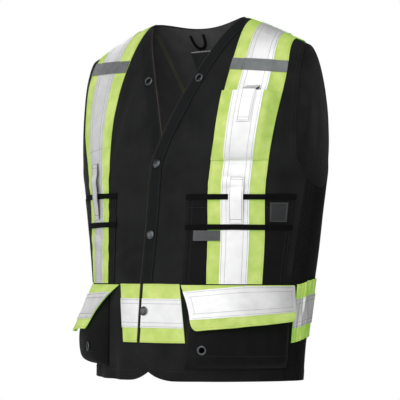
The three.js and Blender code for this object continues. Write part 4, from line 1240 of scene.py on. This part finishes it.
def cargo_flap(side):
    flap = CARGO_FLAP
    shape = FLAP_SHAPES[side.name]

    def at(part, down, offset):
        past = np.maximum((down - flap.corner_from) / (1 - flap.corner_from), 0)
        inset = flap.corner * (1 - np.sqrt(np.maximum(1 - past * past, 0)))
        start = lerp(*shape.inner, np.sin(down * np.pi / 2)) + inset
        end = lerp(*flap.outer, down) - inset
        z = lerp(flap.top, lerp(*shape.bottom, part), down)
        return ring_at(side.sign * lerp(start, end, part), z, offset)

    def base(part, down):
        reach = flap.reach * down * lerp(FLAP_END.reach, 1, smooth(part, 0, FLAP_END.part))
        ripple = FLAP_RIPPLE.height * noise(part * FLAP_RIPPLE.across + 9, down * FLAP_RIPPLE.along)
        return flap.base + reach + ripple * smooth(down, 0, FLAP_RIPPLE.full)

    def tape_down(part, step):
        return lerp(lerp(*shape.tape_top, np.minimum(2 * part, 1)), lerp(*shape.tape_bottom, part), step)

    on_tape = lambda part, step, offset: at(part, tape_down(part, step), offset)
    tape_base = lambda part, step: base(part, tape_down(part, step)) + FLAP + GAP
    name = f"cargo_flap_{side.name}"
    across = lines(0, 1, 56, 0.006)
    down = joined(lines(0, 0.8, 32), 1 - (1 - lines(0.8, 1, 14)) ** 1.5 * 0.2**-0.5)
    tape_rows = lines(0, 1, 22, 0.012)
    add_sheet(name, "lime", across, down, at, base, FLAP)
    add_sheet(f"cargo_flap_tape_{side.name}", "silver", across, tape_rows, on_tape, tape_base, TAPE)
    sewn = lines(0.03, 0.97, 70)
    sew_rows(WHITE_FRONT, on_tape, sewn, [0.05, 0.2, 0.8, 0.95], raised(tape_base, TAPE))
    sew_columns(WHITE_FRONT, on_tape, [0.05, 0.95], lines(0.2, 0.8, 16), raised(tape_base, TAPE))
    sew(LIME_FRONT, at, sewn, 0.955, raised(base, FLAP))


# Metal fittings, turned about their axis: radius and height of each corner of the profile
SNAP_PROFILE = [
    (0, 0), (7.4, 0), (7.9, 0.35), (8, 0.8), (7.7, 1.3), (7.1, 1.55),
    (6.6, 1.7), (6.2, 2.3), (5.2, 2.75), (3.6, 3.05), (1.8, 3.17), (0, 3.2),
]
EYELET_PROFILE = [
    (4.6, -0.4), (8.1, -0.4), (8.5, 0.1), (8.45, 0.6), (8, 1.2), (7.2, 1.75),
    (6.4, 1.95), (5.6, 1.75), (4.95, 1.2), (4.65, 0.4), (4.6, -0.4),
]


def turned(name, profile, seat, sides=40):
    closed = profile[0][0] > 0
    ring = profile[:-1] if closed else profile[1:-1]
    angles = np.arange(sides) * 2 * np.pi / sides
    points = [(r * math.cos(t), r * math.sin(t), h) for r, h in ring for t in angles]
    faces = ring_faces(len(ring), sides, closed)
    if not closed:
        foot, tip, last = len(points), len(points) + 1, len(points) - sides
        points += [(0, 0, profile[0][1]), (0, 0, profile[-1][1])]
        for j in range(sides):
            k = (j + 1) % sides
            faces += [(foot, k, j), (tip, last + j, last + k)]
    piece = new_object(f"{name}_metal", points, faces)
    piece.data.transform(seat)
    return dress(piece, "metal", name)


def fittings():
    for snap in SNAPS:
        row = row_at_height(FRONT, 0, np.array(snap.z))
        seat = seat_on(partial(front_at, LEFT), SNAP_COLUMN, row, ON_PANEL + snap.layer + FITTING_SEAT)
        turned(f"snap_{snap.name}", SNAP_PROFILE, seat)
    for side in SIDES:
        turned(f"neck_eyelet_{side.name}", EYELET_PROFILE, neck_seat(side))
        turned(f"cargo_eyelet_{side.name}", EYELET_PROFILE, cargo_seat(side))


# Inside the back neck
def inside_at(x, z, offset):
    return panel_at(BACK, x, row_at_height(BACK, x, z), offset)


def neck_label():
    across = lines(LABEL.middle - LABEL.half, LABEL.middle + LABEL.half, 20)
    heights = lines(LABEL.bottom, LABEL.top, 24)
    add_sheet("neck_label", "label", across, heights, inside_at, INSIDE_OFFSET, PATCH)
    start, end = LABEL.sewn
    sewn = lines(LABEL.middle + start, LABEL.middle + end, 14)
    sew_rows(NECK_LABEL_EDGE, inside_at, sewn, [LABEL.top - 1, LABEL.top - 2], INSIDE_OFFSET - 0.3)


def hang_loop():
    def at(across, along, offset):
        angle = np.pi * along
        x = LOOP.middle - (LOOP.half + across) * np.cos(angle)
        z = LOOP.top - (LOOP.drop + across) * np.sin(angle) ** LOOP.roundness
        return inside_at(x, z, offset)

    half = LOOP.width / 2
    add_sheet("hang_loop", "web", lines(-half, half, 4), lines(0, 1, 60), at, INSIDE_OFFSET, PATCH)


def build_vest():
    back_panel()
    back_neck_band()
    for side in SIDES:
        front_panel(side)
        side_mesh(side)
        edge_band(side)
        armhole_piping(side)
        front_strip(side)
        back_strip(side)
        inside_seam(side)
        shoulder_tape(side)
        waist_front(side)
        tool_tab(side)
        patch_pocket(side)
        for level in WEBBING_TOPS:
            webbing(side, level)
        cargo_pocket(side)
        cargo_flap(side)
    waist_back()
    chest_pocket()
    chest_tab()
    label("woven_patch", "label", WOVEN_PATCH, ON_PATCH)
    label("tape_tag", "tag", TAPE_TAG, ON_PATCH + STRIP + TAPE + 2 * GAP)
    fittings()
    neck_label()
    hang_loop()
    add_stitches(LIME_INSIDE, "thread_lime", 0.6)
    for group, look in (
        (BLACK_FRONT, "thread_black"),
        (BLACK_BACK, "thread_black"),
        (LIME_FRONT, "thread_lime"),
        (LIME_BACK, "thread_lime"),
        (WHITE_FRONT, "thread_white"),
        (WHITE_BACK, "thread_white"),
        (LABEL_EDGES, "thread_grey"),
        (NECK_LABEL_EDGE, "thread_bright"),
        (SHOULDER_SEAMS, "thread_bright"),
    ):
        add_stitches(group, look)


# Floor, light and camera
WHITE = (1, 1, 1, 1)
FLOOR = Kind(half=6, z=-1.35, colour=(0.85, 0.85, 0.85, 1), glow=0.6)
FILL = 0.15
AIM = Vector((0, 0, -0.3))
CAMERA = Kind(azimuth=38, distance=3.6, height=-0.405, tilt=1.786, pan=0.037)
LENS = Kind(sensor=36, focal_pixels=1989, frame_pixels=400)

# Softboxes: name, azimuth, elevation, distance, size, power
SOFTBOXES = [
    ("camera_light", 33, -4, 2.6, 2.6, 24),
    ("upper_light", 20, 42, 2.4, 2.3, 29),
    ("front_light", -36, 6, 2.6, 2.0, 17),
    ("side_light", -116, 26, 2.4, 1.5, 14),
    ("rim_light", 212, 6, 2.8, 2.0, 22),
]


def seen_or(tree, seen, otherwise):
    """One shader for what is looked at straight, and another, or none, for the light that it gives."""
    straight = node(tree, "ShaderNodeLightPath").outputs["Is Camera Ray"]
    choose = node(tree, "ShaderNodeMixShader", {0: straight, 2: seen})
    if otherwise:
        wire(choose, {1: otherwise})
    return choose.outputs[0]


def floor():
    half = FLOOR.half
    mesh = bpy.data.meshes.new("floor")
    corners = [(x, y, FLOOR.z) for x, y in ((-half, -half), (half, -half), (half, half), (-half, half))]
    mesh.from_pydata(corners, [], [(0, 1, 2, 3)])
    material, tree, shader = new_material("floor", Base_Color=FLOOR.colour, Roughness=0.9)
    shown = node(tree, "ShaderNodeEmission", {"Color": WHITE, "Strength": FLOOR.glow})
    both = node(tree, "ShaderNodeAddShader", {0: shader.outputs[0], 1: seen_or(tree, shown.outputs[0], None)})
    wire(tree.nodes["Material Output"], {"Surface": both.outputs[0]})
    mesh.materials.append(material)
    placed("floor", mesh)


def outward(azimuth, elevation=0):
    a, e = math.radians(azimuth), math.radians(elevation)
    return Vector((math.sin(a) * math.cos(e), -math.cos(a) * math.cos(e), math.sin(e)))


def softbox(name, azimuth, elevation, distance, size, power):
    light = bpy.data.lights.new(name, "AREA")
    light.size = size
    light.energy = power
    lamp = placed(name, light)
    away = outward(azimuth, elevation)
    lamp.location = AIM + away * distance
    lamp.rotation_mode = "QUATERNION"
    lamp.rotation_quaternion = (-away).to_track_quat("-Z", "Y")


def studio():
    world = bpy.data.worlds.new("studio")
    bpy.context.scene.world = world
    world.use_nodes = True
    tree = world.node_tree
    seen = tree.nodes["Background"]
    wire(seen, {"Color": WHITE, "Strength": 1.0})
    fill = node(tree, "ShaderNodeBackground", {"Color": WHITE, "Strength": FILL})
    wire(tree.nodes["World Output"], {"Surface": seen_or(tree, seen.outputs[0], fill.outputs[0])})
    for row in SOFTBOXES:
        softbox(*row)
    bpy.context.scene.view_settings.view_transform = "Standard"


def camera():
    data = bpy.data.cameras.new("camera")
    data.sensor_width = LENS.sensor
    data.lens = LENS.sensor * LENS.focal_pixels / LENS.frame_pixels
    eye = placed("camera", data)
    eye.location = outward(CAMERA.azimuth) * CAMERA.distance + Vector((0, 0, CAMERA.height))
    eye.rotation_euler = (math.radians(90 + CAMERA.tilt), 0, math.radians(CAMERA.azimuth - CAMERA.pan))
    bpy.context.scene.camera = eye


build_vest()
floor()
studio()
camera()
